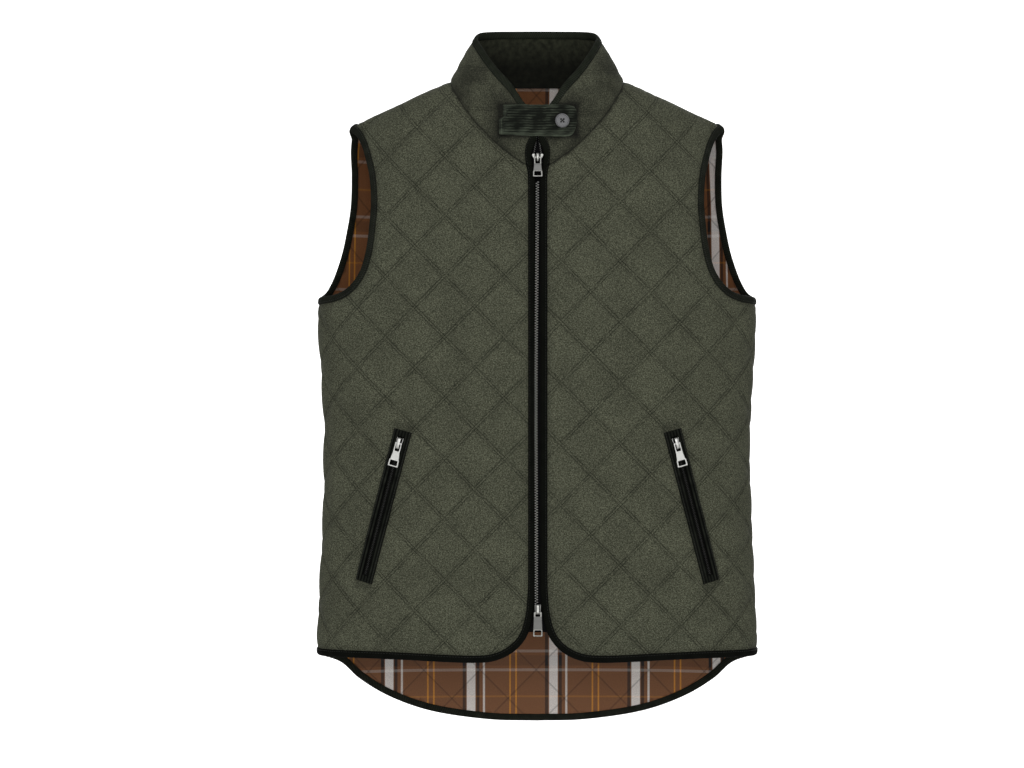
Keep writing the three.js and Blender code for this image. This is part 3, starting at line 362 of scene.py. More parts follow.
armhole_top, underarm, side_hem = -48, -250, -637
front_runs = {
    "neck": neck_run(FRONT),
    "shoulder": seam_run(FRONT, 0, armhole_top),
    "armhole": seen_run(FRONT, [
        (197, -58), (190, -71.5), (185, -87), (180, -108), (177.5, -137), (179, -163), (183.5, -197),
        (191.5, -221), (206, -239), (223, -247.5),
    ], [seam_place(FRONT, armhole_top)], [seam_place(FRONT, underarm)]),
    "side": seam_run(FRONT, underarm, side_hem),
    "hem": seen_run(FRONT, [
        (195, -635), (143.5, -636), (96, -638), (69, -638.5), (51, -637), (34, -630), (20, -616),
        (12.7, -594), (10, -565),
    ], [seam_place(FRONT, side_hem)], [(front_edge_x, -540)]),
    "edge": smooth_run(FRONT, [
        (float(edge_beside_zip(z)), z) for z in (*range(-540, -110, 10), -108)
    ] + [(float(edge_beside_zip(edge_top)), float(front_neck_z(edge_beside_zip(edge_top))))], edge_spacing),
}
front_outline = np.vstack([run[:-1] for run in front_runs.values()])


def distance_to(line, at, closed=True):
    """The distance from each place to a line of places."""
    ends = np.roll(line, -1, axis=0) if closed else line[1:]
    starts = line if closed else line[:-1]
    least = np.full(len(at), 1e9)
    for a, b in zip(starts, ends):
        along = np.clip(((at - a) @ (b - a)) / max(1e-9, (b - a) @ (b - a)), 0, 1)
        least = np.minimum(least, np.linalg.norm(at - a - along[:, None] * (b - a), axis=1))
    return least


def inside_of(line, at):
    """Which places lie inside a closed line."""
    inside = np.zeros(len(at), bool)
    for a, b in zip(line, np.roll(line, -1, axis=0)):
        crosses = (a[1] > at[:, 1]) != (b[1] > at[:, 1])
        with np.errstate(divide="ignore", invalid="ignore"):
            left = at[:, 0] < a[0] + (b[0] - a[0]) * (at[:, 1] - a[1]) / (b[1] - a[1])
        inside ^= crosses & left
    return inside


# Quilting: half the diamonds' pitch across and down, and where two stitched lines cross on each panel.
half_across, half_down, diamond_side = 32.8, 33.3, 46.7
shell_t, puff, lining_t = 1.6, 2.6, -1.3
# Steps across a diamond, finer beside the stitching, where the cloth dips and puckers.
one_side = np.array([0, 0.02, 0.045, 0.08, 0.125, 0.18, 0.24, 0.31, 0.39, 0.5])
diamond_steps = np.r_[one_side, (1 - one_side[::-1])[1:-1]]


def quilt_place(p, z, crossing):
    """A place counted in diamonds along the two directions of stitching."""
    a, b = (p - crossing[0]) / half_across, (z - crossing[1]) / half_down
    return (a + b) / 2, (a - b) / 2


def layer_faces(count, rim, faces):
    """Faces of one closed layer of cloth: inner face, outer face and the wall round the cut edge."""
    inner = [face[::-1] for face in faces]
    outer = [tuple(k + count for k in face) for face in faces]
    return inner + outer + [(a, b, b + count, a + count) for a, b in zip(rim, rim[1:] + rim[:1])]


def cut_panel(outline, crossing):
    """A quilted panel's places with its cut edge first, their distance from that edge, and its faces."""
    u, v = quilt_place(outline[:, 0], outline[:, 1], crossing)
    lines = [
        np.add.outer(np.arange(math.floor(w.min()), math.ceil(w.max()) + 1), diamond_steps).ravel()
        for w in (u, v)
    ]
    u, v = (g.ravel() for g in np.meshgrid(*lines))
    inner = np.stack([crossing[0] + half_across * (u + v), crossing[1] + half_down * (u - v)], axis=1)
    inner = inner[inside_of(outline, inner)]
    inner = inner[distance_to(outline, inner) > 1.3]
    places, rim = np.vstack([outline, inner]), list(range(len(outline)))
    _, _, faces, originals, _, _ = delaunay_2d_cdt([Vector(at) for at in places], [], [rim], 1, 1e-5)
    faces = [tuple(originals[k][0] for k in face) for face in faces]
    edge = distance_to(outline, places)
    edge[rim] = 0
    return places, edge, layer_faces(len(places), rim, faces)


def new_piece(name, body, node, points, faces, finishes, maps=None, face_finish=None):
    """A smooth mesh from points in millimetres, which rides on a body and stands for a CAD node where
    there is one. Each map gives two numbers to every point of one layer, and all layers share it."""
    points = np.asarray(points, float).reshape(-1, 3)
    mesh = bpy.data.meshes.new(name)
    mesh.from_pydata((points * MM).tolist(), [], faces)
    for finish in finishes:
        mesh.materials.append(finish)
    if face_finish is not None:
        mesh.polygons.foreach_set("material_index", np.asarray(face_finish, np.int32))
    corners = np.empty(len(mesh.loops), np.int32)
    mesh.loops.foreach_get("vertex_index", corners)
    for map_name, (first, second) in (maps or {}).items():
        layer = np.stack(spread(first, second), axis=-1).reshape(-1, 2)
        values = np.tile(layer, (len(points) // len(layer), 1)).astype(np.float32)
        mesh.uv_layers.new(name=map_name).data.foreach_set("uv", values[corners].ravel())
    mesh.shade_smooth()
    mesh.update()
    made = bpy.data.objects.new(name, mesh)
    bpy.context.scene.collection.objects.link(made)
    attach(made, body)
    if node:
        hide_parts(node)
    return made


def waves(seed, at, size, count=5):
    """A soft uneven field over pattern places, from a few waves about one size long, within about one."""
    rng = np.random.default_rng(seed)
    total = np.zeros(len(at))
    for _ in range(count):
        turn, phase = rng.uniform(0, 2 * math.pi), rng.uniform(0, 2 * math.pi)
        pitch = rng.uniform(0.7, 1.4)
        way = at @ (math.cos(turn), math.sin(turn))
        total += np.sin(2 * math.pi * way / (size * pitch) + phase)
    return total / math.sqrt(count)


def quilt_rise(at, crossing, edge, seed):
    """How far the cloth rises over each diamond, and puckers beside its stitching."""
    u, v = quilt_place(at[:, 0], at[:, 1], crossing)
    fu, fv = u - np.floor(u), v - np.floor(v)
    across_u, across_v = (1 - np.abs(2 * f - 1) ** 2.3 for f in (fu, fv))
    rng = np.random.default_rng(seed)
    fullness = rng.uniform(0.72, 1.12, (60, 60))[np.floor(u).astype(int) % 60, np.floor(v).astype(int) % 60]
    crown = (across_u * across_v) ** 0.62 * fullness
    # Short puckers run away from each line of stitching and die out within about 9 mm.
    away_u, away_v = (diamond_side * np.minimum(f, 1 - f) for f in (fu, fv))
    along_u, along_v = v * diamond_side, u * diamond_side
    pucker = sum(
        np.exp(-away / 6) * (1 - np.exp(-away / 1.4))
        * (np.sin(2 * math.pi * along / 7.3 + 2.1 * np.sin(along / 23)) * 0.5
           + np.sin(2 * math.pi * along / 11.9 + 1.3 * np.sin(along / 31 + seed)) * 0.5)
        for away, along in ((away_u, along_u), (away_v, along_v))
    )
    fade = np.clip(edge / 13, 0, 1) ** 0.8
    return (puff * crown + 0.34 * pucker * (0.6 + 0.4 * waves(seed + 5, at, 90))) * fade


def from_line(tree, counted):
    """How many millimetres a place, counted in diamonds, is from the nearest line of stitching."""
    for operation, other in (
        ("ADD", 0.5), ("FRACT", 0.0), ("SUBTRACT", 0.5), ("ABSOLUTE", 0.0), ("MULTIPLY", diamond_side),
    ):
        counted = add_node(tree, "Math", {0: counted, 1: other}, operation=operation)["Value"]
    return counted


def two_of_map(tree, name):
    """The two numbers of a map that the mesh carries, as X and Y."""
    return add_node(tree, "SeparateXYZ", {
        "Vector": add_node(tree, "UVMap", uv_map=name)["UV"],
    })


def wool_twill(name, tone, uneven):
    """Milled wool twill in mixed olive yarns: dry and matt, with a faint bloom from its short nap."""
    made, tree = new_material(name)
    cloth_map = add_node(tree, "UVMap", uv_map="cloth")["UV"]
    # The yarns are under half a millimetre, too fine to show: they are drawn as flecks of about 1 mm,
    # some long across the cloth and some long up it.
    ways = []
    for stretch in ((0.42, 1, 1), (1, 0.42, 1)):
        yarns = add_node(tree, "Mapping", {"Vector": cloth_map, "Scale": stretch})["Vector"]
        ways.append(add_node(tree, "TexNoise", {
            "Vector": yarns, "Scale": 1500.0, "Detail": 1.0, "Roughness": 0.6,
        }, noise_dimensions="2D")["Fac"])
    # Each float of yarn has a tone of its own, in steps that climb to the right as in a twill.
    floats = add_node(tree, "Mapping", {
        "Vector": cloth_map, "Scale": (1000 / 1.2, 1000 / 0.85, 1), "Rotation": (0, 0, math.radians(8)),
    })["Vector"]
    floats = add_node(tree, "VectorMath", {0: floats}, operation="FLOOR")["Vector"]
    floats = add_node(tree, "TexWhiteNoise", {"Vector": floats}, noise_dimensions="2D")["Value"]
    flecks = add_node(tree, "Math", {0: ways[0], 1: ways[1]}, operation="ADD")["Value"]
    flecks = add_node(tree, "Math", {0: flecks, 1: 0.42}, operation="MULTIPLY")["Value"]
    flecks = add_node(tree, "Math", {0: floats, 1: 0.16, 2: flecks}, operation="MULTIPLY_ADD")["Value"]
    mixed = add_node(tree, "ValToRGB", {"Fac": flecks}, [
        (0.32, "#2b2d22"), (0.68, "#727461"), (0.43, "#3d3f32"), (0.5, "#4b4d3f"), (0.57, "#5a5c4b"),
    ])["Color"]
    # Wool takes the dye a little unevenly, in clouds of 20 to 60 mm; where they are made strong, as on the
    # collar, the clouds are painted shade.
    cloud = add_node(tree, "TexNoise", {
        "Vector": cloth_map, "Scale": 28.0, "Detail": 3.0,
    }, noise_dimensions="2D")["Fac"]
    cloud = add_node(tree, "MapRange", {
        "Value": cloud, "From Min": 0.3, "From Max": 0.7, "To Min": (1 - uneven) * tone,
        "To Max": (1 + uneven) * tone,
    })["Result"]
    counted = two_of_map(tree, "quilt")
    lines = []
    for axis, along in (("X", "Y"), ("Y", "X")):
        away = from_line(tree, counted[axis])
        # Painted shade in the trough along each twin line of stitching, where the nap is also worn flat.
        trough = add_node(tree, "MapRange", {
            "Value": away, "From Min": 1.2, "From Max": 5.5, "To Min": 1.0, "To Max": 0.0,
        }, interpolation_type="SMOOTHERSTEP")["Result"]
        ridge_highlight = add_node(tree, "MapRange", {
            "Value": away, "From Min": 0.3, "From Max": 1.1, "To Min": 1.0, "To Max": 0.0,
        })["Result"]
        # Two rows of stitches 2.8 mm apart, each stitch 2.6 mm long with a short gap where it dives.
        row = add_node(tree, "Math", {0: away, 1: 1.4}, operation="SUBTRACT")["Value"]
        row = add_node(tree, "Math", {0: row}, operation="ABSOLUTE")["Value"]
        row = add_node(tree, "MapRange", {
            "Value": row, "From Min": 0.15, "From Max": 0.45, "To Min": 1.0, "To Max": 0.0,
        })["Result"]
        run = counted[along]
        for operation, other in (
            ("MULTIPLY", diamond_side / 2.6), ("FRACT", 0.0), ("SUBTRACT", 0.5), ("ABSOLUTE", 0.0),
        ):
            run = add_node(tree, "Math", {0: run, 1: other}, operation=operation)["Value"]
        run = add_node(tree, "MapRange", {
            "Value": run, "From Min": 0.3, "From Max": 0.46, "To Min": 1.0, "To Max": 0.4,
        })["Result"]
        stitches = add_node(tree, "Math", {0: row, 1: run}, operation="MULTIPLY")["Value"]
        lines.append((trough, ridge_highlight, stitches))
    trough, ridge_highlight, stitches = (
        add_node(tree, "Math", {0: one, 1: other}, operation="MAXIMUM")["Value"]
        for one, other in zip(*lines)
    )
    # Troughs and stitches come and go along a line, as the tension of the stitching does.
    patchy = add_node(tree, "TexNoise", {
        "Vector": cloth_map, "Scale": 55.0, "Detail": 1.0,
    }, noise_dimensions="2D")["Fac"]
    patchy = add_node(tree, "MapRange", {
        "Value": patchy, "From Min": 0.35, "From Max": 0.6, "To Min": 0.5, "To Max": 1.0,
    })["Result"]
    trough, stitches = (
        add_node(tree, "Math", {0: depth, 1: patchy}, operation="MULTIPLY")["Value"]
        for depth in (trough, stitches)
    )
    shade = add_node(tree, "MapRange", {"Value": trough, "To Min": 1.0, "To Max": 0.86})["Result"]
    # The strip between the two rows stands up and is painted a little paler: a painted highlight.
    shade = add_node(tree, "Math", {0: ridge_highlight, 1: 0.1, 2: shade}, operation="MULTIPLY_ADD")["Value"]
    # Painted shade: beside a seam, under an edge and round the throat tab the cloth is darkened, down to a
    # twentieth, where it is pressed down and in shadow.
    pressed_and_painted_shade = add_node(tree, "MapRange", {
        "Value": two_of_map(tree, "seam")["X"], "To Min": 1.0, "To Max": 0.05,
    })["Result"]
    for darker in (pressed_and_painted_shade, cloud):
        shade = add_node(tree, "Math", {0: shade, 1: darker}, operation="MULTIPLY")["Value"]
    shaded = add_node(tree, "VectorMath", {0: mixed, "Scale": shade}, operation="SCALE")["Vector"]
    colour = add_node(tree, "Mix", {
        "Factor": stitches, "A": shaded, "B": linear("#16180f"),
    }, data_type="RGBA")[2]
    # The twill stands about 0.1 mm high, and a stitch pulls 0.25 mm into the cloth.
    height = add_node(tree, "Math", {0: stitches, 1: -2.2, 2: flecks}, operation="MULTIPLY_ADD")["Value"]
    bump = add_node(tree, "Bump", {"Height": height, "Strength": 0.35, "Distance": 0.00018})["Normal"]
    wool = add_node(tree, "BsdfPrincipled", {
        "Base Color": colour, "Roughness": 0.93, "IOR": 1.54, "Specular IOR Level": 0.22,
        "Sheen Weight": 0.08, "Sheen Roughness": 0.5, "Sheen Tint": linear("#8d9080"), "Normal": bump,
    })
    add_node(tree, "OutputMaterial", {"Surface": wool["BSDF"]})
    return made


def lining_check():
    """Printed cotton check on brown: smooth and even, a little shinier than the wool."""
    made, tree = new_material("checked_cotton_lining")
    cloth_map = add_node(tree, "UVMap", uv_map="cloth")["UV"]
    apart = two_of_map(tree, "cloth")
    # Stripes as centre, half width and colour, in millimetres from the start of each repeat.
    stripes = {
        "X": (96, [(20, 5.0, "#fbf7f3"), (12.0, 1.8, "#1b1514"), (28.0, 1.8, "#1b1514"),
                   (35, 1.2, "#e5dfd9"), (65.5, 0.9, "#d08a2c"), (72.5, 0.9, "#d08a2c")]),
        "Y": (84, [(22, 6, "#1d1817"), (11, 1.6, "#d9d2cc"), (33, 1.6, "#d9d2cc"), (64, 1.0, "#d08a2c")]),
    }
    ways, soft_edge = [], 0.3
    for axis, (repeat, lines) in stripes.items():
        at = apart[axis]
        # in millimetres, and past nought everywhere before it is folded into one repeat
        for operation, other in (("MULTIPLY", 1000.0), ("ADD", 4800.0), ("MODULO", float(repeat))):
            at = add_node(tree, "Math", {0: at, 1: other}, operation=operation)["Value"]
        colour = linear("#7c5131")
        for centre, half_width, line in lines:
            off = add_node(tree, "Math", {0: at, 1: float(centre)}, operation="SUBTRACT")["Value"]
            off = add_node(tree, "Math", {0: off}, operation="ABSOLUTE")["Value"]
            on = add_node(tree, "MapRange", {
                "Value": off, "From Min": half_width - soft_edge, "From Max": half_width + soft_edge,
                "To Min": 1.0, "To Max": 0.0,
            })["Result"]
            colour = add_node(tree, "Mix", {
                "Factor": on, "A": colour, "B": linear(line),
            }, data_type="RGBA")[2]
        ways.append(colour)
    both = add_node(tree, "Mix", {"Factor": 0.24, "A": ways[0], "B": ways[1]}, data_type="RGBA")[2]
    # The quilting shows on this side too, as thin puckered lines darkened with painted shade.
    counted = two_of_map(tree, "quilt")
    crease_shades = [
        add_node(tree, "MapRange", {
            "Value": from_line(tree, counted[axis]), "From Min": 0.2, "From Max": 1.3, "To Min": 0.62,
        })["Result"]
        for axis in ("X", "Y")
    ]
    crease_shade = add_node(tree, "Math", {0: crease_shades[0], 1: crease_shades[1]}, operation="MULTIPLY")["Value"]
    # Plain weave of 0.3 mm threads, drawn at 1 mm.
    grain = add_node(tree, "TexNoise", {
        "Vector": cloth_map, "Scale": 900.0, "Detail": 1.0,
    }, noise_dimensions="2D")["Fac"]
    tone = add_node(tree, "MapRange", {
        "Value": grain, "From Min": 0.3, "From Max": 0.7, "To Min": 0.86, "To Max": 1.12,
    })["Result"]
    tone = add_node(tree, "Math", {0: tone, 1: crease_shade}, operation="MULTIPLY")["Value"]
    toned = add_node(tree, "VectorMath", {0: both, "Scale": tone}, operation="SCALE")["Vector"]
    bump = add_node(tree, "Bump", {"Height": grain, "Strength": 0.3, "Distance": 0.0001})["Normal"]
    cotton = add_node(tree, "BsdfPrincipled", {
        "Base Color": toned, "Roughness": 0.6, "IOR": 1.53, "Specular IOR Level": 0.3,
        "Sheen Weight": 0.03, "Normal": bump,
    })
    add_node(tree, "OutputMaterial", {"Surface": cotton["BSDF"]})
    return made


wool = wool_twill("milled_wool_twill", 1.0, 0.1)
lining = lining_check()

pocket_top, pocket_slant, pocket_length, pocket_half = (148, -391), math.radians(15), 173, 10


def on_pocket(wearer, down, across):
    """A place on a pocket, down along its zip from the top and across it."""
    down, across = spread(down, across)
    p = pocket_top[0] + down * math.sin(pocket_slant) + across * math.cos(pocket_slant)
    z = pocket_top[1] - down * math.cos(pocket_slant) + across * math.sin(pocket_slant)
    return np.stack([wearer * p, z], axis=-1)


def seam_dip(edge):
    """How far the cloth turns in beside a seam."""
    return -0.9 * falloff(edge, 2.2)


front_crossing = {RIGHT: (-36.6, -355.3), LEFT: (25.1, -338.9)}
held_past, held_half = 6, 9  # where the welts hold the cloth down: past the pocket's ends, and across
for wearer, node in ((RIGHT, "front_right"), (LEFT, "front_left")):
    outline = (front_outline * (wearer, 1))[::wearer]
    places, edge, faces = cut_panel(outline, front_crossing[wearer])
    # The cloth lies flat under the pocket's two welts, which hold it down.
    low_end = pocket_length + held_past
    under = on_pocket(wearer, [-held_past, low_end, low_end, -held_past],
                      [held_half, held_half, -held_half, -held_half])
    to_pocket = np.where(inside_of(under, places), 0, distance_to(under, places))
    rise = quilt_rise(places, front_crossing[wearer], np.minimum(edge, to_pocket), 11 + wearer)
    inner_faces = (len(faces) - len(outline)) // 2
    # Painted shade: the cloth is darkened along the neck seam, beside every cut edge and round the pocket's
    # welts.
    to_neck = distance_to(front_runs["neck"] * (wearer, 1), places, closed=False)
    painted_shade = np.maximum(0.97 * falloff(to_neck, 1.1), 0.3 * falloff(edge, 3.5))
    painted_shade = np.maximum(painted_shade, 0.35 * falloff(to_pocket, 2.5))
    front = new_piece(
        f"quilted_{node}", "vest", node,
        [place(FRONT, *places.T, t) for t in (lining_t, shell_t + rise + seam_dip(edge))],
        faces, [wool, lining],
        {"cloth": places.T * MM, "quilt": quilt_place(*places.T, front_crossing[wearer]),
         "seam": (painted_shade, 0)},
        [1] * inner_faces + [0] * (len(faces) - inner_faces),
    )


# The back: one quilted piece from the collar to the dropped tail, sewn to the fronts at the shoulders
# and sides, with a lining of the same check behind it.

tail_cut = [(224, -653), (200, -675.5), (169, -695.5), (123.5, -713), (54, -724), (0, -725.5)]
back_runs = {
    "neck": neck_run(BACK),
    "shoulder": seam_run(BACK, 0, armhole_top),
    "armhole": seen_run(BACK, [
        (205, -59), (206.5, -76), (206.3, -101), (208, -137), (213, -168), (220, -198), (231, -228),
        (239, -242),
    ], [seam_place(BACK, armhole_top)], [seam_place(BACK, underarm)]),
    "side": seam_run(BACK, underarm, side_hem),
    "hem": seen_run(BACK, tail_cut, [seam_place(BACK, side_hem)]),
}
back_half = np.vstack([run[:-1] for run in back_runs.values()])
back_outline = np.vstack([back_half, back_runs["hem"][-1:], (back_half * (-1, 1))[::-1][:-1]])
back_crossing = (0, -340)
places, edge, faces = cut_panel(back_outline, back_crossing)
rise = quilt_rise(places, back_crossing, edge, 31)
back_maps = {"cloth": places.T * MM, "quilt": quilt_place(*places.T, back_crossing)}
back = new_piece(
    "quilted_back", "vest", "back",
    [place(BACK, *places.T, t) for t in (0.0, shell_t + rise + seam_dip(edge))], faces, [wool], back_maps,
)

# The lining shows the quilting as shallow dimples, because the stitching goes right through.
dimple = -0.38 * quilt_rise(places, back_crossing, edge, 32) / puff
back_lining = new_piece(
    "back_lining_cloth", "vest", "back_lining",
    [place(BACK, *places.T, t) for t in (lining_t + dimple * 1.6, -0.3 + dimple * 0.2)],
    faces, [lining], back_maps,
)


def loop_area(loop):
    """The area inside a closed line, below nought where the line runs clockwise."""
    after = np.roll(loop, -1, axis=0)
    return 0.5 * np.sum(loop[:, 0] * after[:, 1] - after[:, 0] * loop[:, 1])


# Bindings: black-green ribbed tape, folded over each cut edge and sewn through. One runs round each
# armhole, one along each front from the side seam up to the collar, and one along the tail.

def ribbed_tape(name, colour, light, slant=28, spacing=0.002):
    """Rayon petersham tape: near black, with fine cross ribs that catch a little light."""
    made, tree = new_material(name)
    strip_map = add_node(tree, "UVMap", uv_map="strip")["UV"]
    # Ribs of about 0.5 mm, drawn at 2 mm or more so that they show.
    slanted = add_node(tree, "Mapping", {
        "Vector": strip_map, "Rotation": (0, 0, math.radians(slant)),
    })["Vector"]
    ribs = add_node(tree, "TexWave", {
        "Vector": slanted, "Scale": 2 * math.pi / 20 / spacing, "Distortion": 0.6, "Detail": 1.0,
        "Detail Scale": 6.0,
    }, wave_type="BANDS", bands_direction="X")["Fac"]
    worn = add_node(tree, "TexNoise", {
        "Vector": strip_map, "Scale": 90.0, "Detail": 4.0,
    }, noise_dimensions="2D")["Fac"]
    level = add_node(tree, "Math", {0: ribs, 1: worn}, operation="MULTIPLY")["Value"]
    colours = add_node(tree, "Mix", {
        "Factor": level, "A": linear(colour), "B": linear(light),
    }, data_type="RGBA")[2]
    # Painted shade: darker, down to three tenths, where the map puts the tape in shadow behind the tab or
    # beside the pocket slot.
    pressed_and_painted_shade = add_node(tree, "MapRange", {
        "Value": two_of_map(tree, "seam")["X"], "To Min": 1.0, "To Max": 0.3,
    })["Result"]
    colours = add_node(tree, "VectorMath", {0: colours, "Scale": pressed_and_painted_shade}, operation="SCALE")["Vector"]
    bump = add_node(tree, "Bump", {"Height": level, "Strength": 0.5, "Distance": 0.0002})["Normal"]
    tape = add_node(tree, "BsdfPrincipled", {
        "Base Color": colours, "Roughness": 0.85, "IOR": 1.5, "Specular IOR Level": 0.07, "Normal": bump,
    })
    add_node(tree, "OutputMaterial", {"Surface": tape["BSDF"]})
    return made


binding_tape = ribbed_tape("ribbed_binding_tape", "#040503", "#171914")
paler_tape = ribbed_tape("paler_binding_tape", "#10120e", "#363930")  # a paler copy, used round the armholes and along the tail
binding_width = 7.2
# The folded tape's section: n out from the cut edge, t out from the body. It laps over the cloth a little.
binding_section = np.array([
    (-0.9, 1.5), (-0.8, 2.05), (-0.3, 2.5), (0.9, 2.72), (2.6, 2.75), (4.4, 2.5), (5.8, 1.95), (6.8, 1.1),
    (7.2, 0.2), (6.9, -0.75), (6.0, -1.35), (4.2, -1.65), (1.8, -1.7), (-0.6, -1.6), (-0.9, -1.4),
])


def swept_faces(stations, corners, ring=False):
    """Faces of a closed skin over sections with the same number of corners."""
    faces = []
    for i in range(stations if ring else stations - 1):
        j = (i + 1) % stations
        for k in range(corners):
            m = (k + 1) % corners
            faces.append((i * corners + k, i * corners + m, j * corners + m, j * corners + k))
    if not ring:
        last = (stations - 1) * corners
        faces += [tuple(range(corners - 1, -1, -1)), tuple(range(last, last + corners))]
    return faces


def section_map(sections):
    """Metres along and round a swept strip."""
    around = np.linalg.norm(np.diff(sections, axis=1), axis=2).mean(axis=0)
    return way_along(sections.mean(axis=1))[:, None] * MM, np.r_[0, np.cumsum(around)] * MM


back_half_closed = np.vstack([back_half, back_runs["hem"][-1:], [(0, -400)], [(0, 3)]])


def binding_sections(side, wearer, run, start_at, end_at, seed):
    """A binding's sections along one run of a cut edge, with its two ends on the seams they stop at."""
    step = unit(np.gradient(run, axis=0))
    out = np.stack([step[:, 1], -step[:, 0]], axis=1)
    middle = len(run) // 2
    if inside_of(front_outline if side == FRONT else back_half_closed, run[[middle]] + out[[middle]]).any():
        out = -out
    n, t = binding_section.T
    places = run[:, None, :] + n[None, :, None] * out[:, None, :]
    for index, reach in ((0, start_at), (-1, end_at)):
        places[index] = [reach(width, run[index]) for width in n]
    # The tape pulls in at each stitch and fills out between them.
    way = way_along(run)
    rng = np.random.default_rng(seed)
    uneven = 0.10 * np.sin(way / 2.3 + 2 * np.sin(way / 17)) + 0.12 * np.sin(way / 9 + rng.uniform(0, 6))
    fuller = t[None, :] + np.where(t > 1.9, 1, 0)[None, :] * uneven[:, None]
    return place(side, wearer * places[..., 0], places[..., 1], fuller)


# Where the tape's places lie at the end of a run: on the shoulder seam, the side seam or the neck seam.
def at_shoulder(side):
    return lambda n, at: seam_place(side, at[1] - n * math.sin(shoulder_tilt))


def at_side(side, way):
    return lambda n, at: seam_place(side, at[1] + way * n)


def at_neck(n, at):
    return at[0] - n, float(front_neck_z(at[0] - n))


def swept_piece(name, slot, node, sections, finish, ring=False, **maps):
    """A strip through sections, with its length and way round in the map its ribs follow."""
    return new_piece(name, "vest", node, sections, swept_faces(*sections.shape[:2], ring), [finish],
                     {"strip": section_map(sections), **maps})


# Smooth twisted thread, a little brighter than the tape it is sewn through.
thread, tree = new_material("dark_polyester_thread")
strands = add_node(tree, "TexNoise", {"Scale": 1800.0, "Detail": 1.0})["Fac"]
tones = add_node(tree, "Mix", {
    "Factor": strands, "A": linear("#0b0c09"), "B": linear("#23251e"),
}, data_type="RGBA")[2]
polyester = add_node(tree, "BsdfPrincipled", {
    "Base Color": tones, "Roughness": 0.55, "IOR": 1.54, "Specular IOR Level": 0.35,
})
add_node(tree, "OutputMaterial", {"Surface": polyester["BSDF"]})


stitch_pitch, stitch_length, thread_width = 3.2, 2.4, 0.5


def stitch_row(line, out, ring=False, pitch=stitch_pitch, length=stitch_length):
    """Points of a row of stitches along a line: each is a thin bar whose ends dive into the cloth."""
    if ring:
        line, out = np.vstack([line, line[:1]]), np.vstack([out, out[:1]])
    way = way_along(line)
    spots = np.arange(pitch / 2, way[-1] - pitch, pitch)[:, None] + length * np.array([0, 0.22, 0.78, 1])
    at, up = (
        np.stack([np.interp(spots, way, v[:, k]) for k in range(3)], axis=-1) for v in (line, unit(out))
    )
    across = unit(np.cross(at[:, -1:] - at[:, :1], up))
    wide = np.outer([0.5, 1, 1, 0.5], [-1, -0.55, 0.55, 1]) * thread_width / 2
    high = np.outer([0, 1, 1, 0], [0, 1, 1, 0]) * 0.28 + np.array([-0.1, 0.02, 0.02, -0.1])[:, None]
    return at[:, :, None] + wide[..., None] * across[:, :, None] + high[..., None] * up[:, :, None]


def stitch_piece(name, rows):
    """Rows of stitches joined into one piece."""
    points = np.vstack([row.reshape(-1, 16, 3) for row in rows])
    bar = np.array(swept_faces(4, 4))
    faces = (bar[None] + 16 * np.arange(len(points))[:, None, None]).reshape(-1, 4)
    new_piece(name, "vest", None, points, faces.tolist(), [thread])


edge_stitches = []  # along the inner edge of each binding


def sew_down(sections, ring=False, corner=3):
    out = sections[:, corner] - sections.mean(axis=1)
    edge_stitches.append(stitch_row(sections[:, corner], out, ring))


for wearer, name in ((RIGHT, "right"), (LEFT, "left")):
    round_front, round_back = (
        binding_sections(side, wearer, runs["armhole"], at_shoulder(side), at_side(side, 1), seed)
        for side, runs, seed in ((FRONT, front_runs, 3), (BACK, back_runs, 4))
    )
    round_arm = np.vstack([round_front, round_back[::-1]])
    swept_piece(f"armhole_tape_{name}", "binding", f"armhole_binding_{name}", round_arm, paler_tape, True)
    front_run = np.vstack([front_runs["hem"][:-1], front_runs["edge"]])
    front_strip = binding_sections(FRONT, wearer, front_run, at_side(FRONT, -1), at_neck, 5)
    swept_piece(f"front_tape_{name}", "binding", f"front_binding_{name}", front_strip, binding_tape)
    sew_down(round_arm, True)
    sew_down(front_strip)

tail_halves = [
    binding_sections(BACK, wearer, back_runs["hem"], at_side(BACK, -1), lambda n, at: (0, at[1] - n), 6)
    for wearer in (LEFT, RIGHT)
]
tail_strip = np.vstack([tail_halves[0], tail_halves[1][::-1][1:]])
swept_piece("tail_tape", "binding", "tail_binding", tail_strip, paler_tape)
sew_down(tail_strip)
stitch_piece("binding_stitches", edge_stitches)


# The collar: a stand of the same wool over a soft layer, faced inside with dark brushed cotton, and
# bound along its top and its two short ends beside the zip.

# turn round the neck from the centre front, and the place of the collar's top edge there
collar_rows = np.array([
    (0, 0, -69, -47), (10, 7.5, -70, -37), (22, 16, -69, -27.5), (36, 28.5, -64, -8), (52, 44.5, -50, 11),
    (66, 56, -33, 28), (78, 63.5, -16, 41.5), (90, 67.5, 1, 51), (116, 63.5, 18, 59), (142, 49, 34, 62.5),
    (162, 27, 44, 64), (180, 0, 47, 64.5),
])
other_way = (-1, -1, 1, 1)
wrapped = np.vstack([
    collar_rows[1] * other_way, collar_rows, collar_rows[-2] * other_way + (360, 0, 0, 0),
])
collar_slopes = (wrapped[2:] - wrapped[:-2]) / (wrapped[2:, :1] - wrapped[:-2, :1])
collar_slopes[0, 3] = (collar_rows[1, 3] - collar_rows[0, 3]) / collar_rows[1, 0]  # it meets in a point


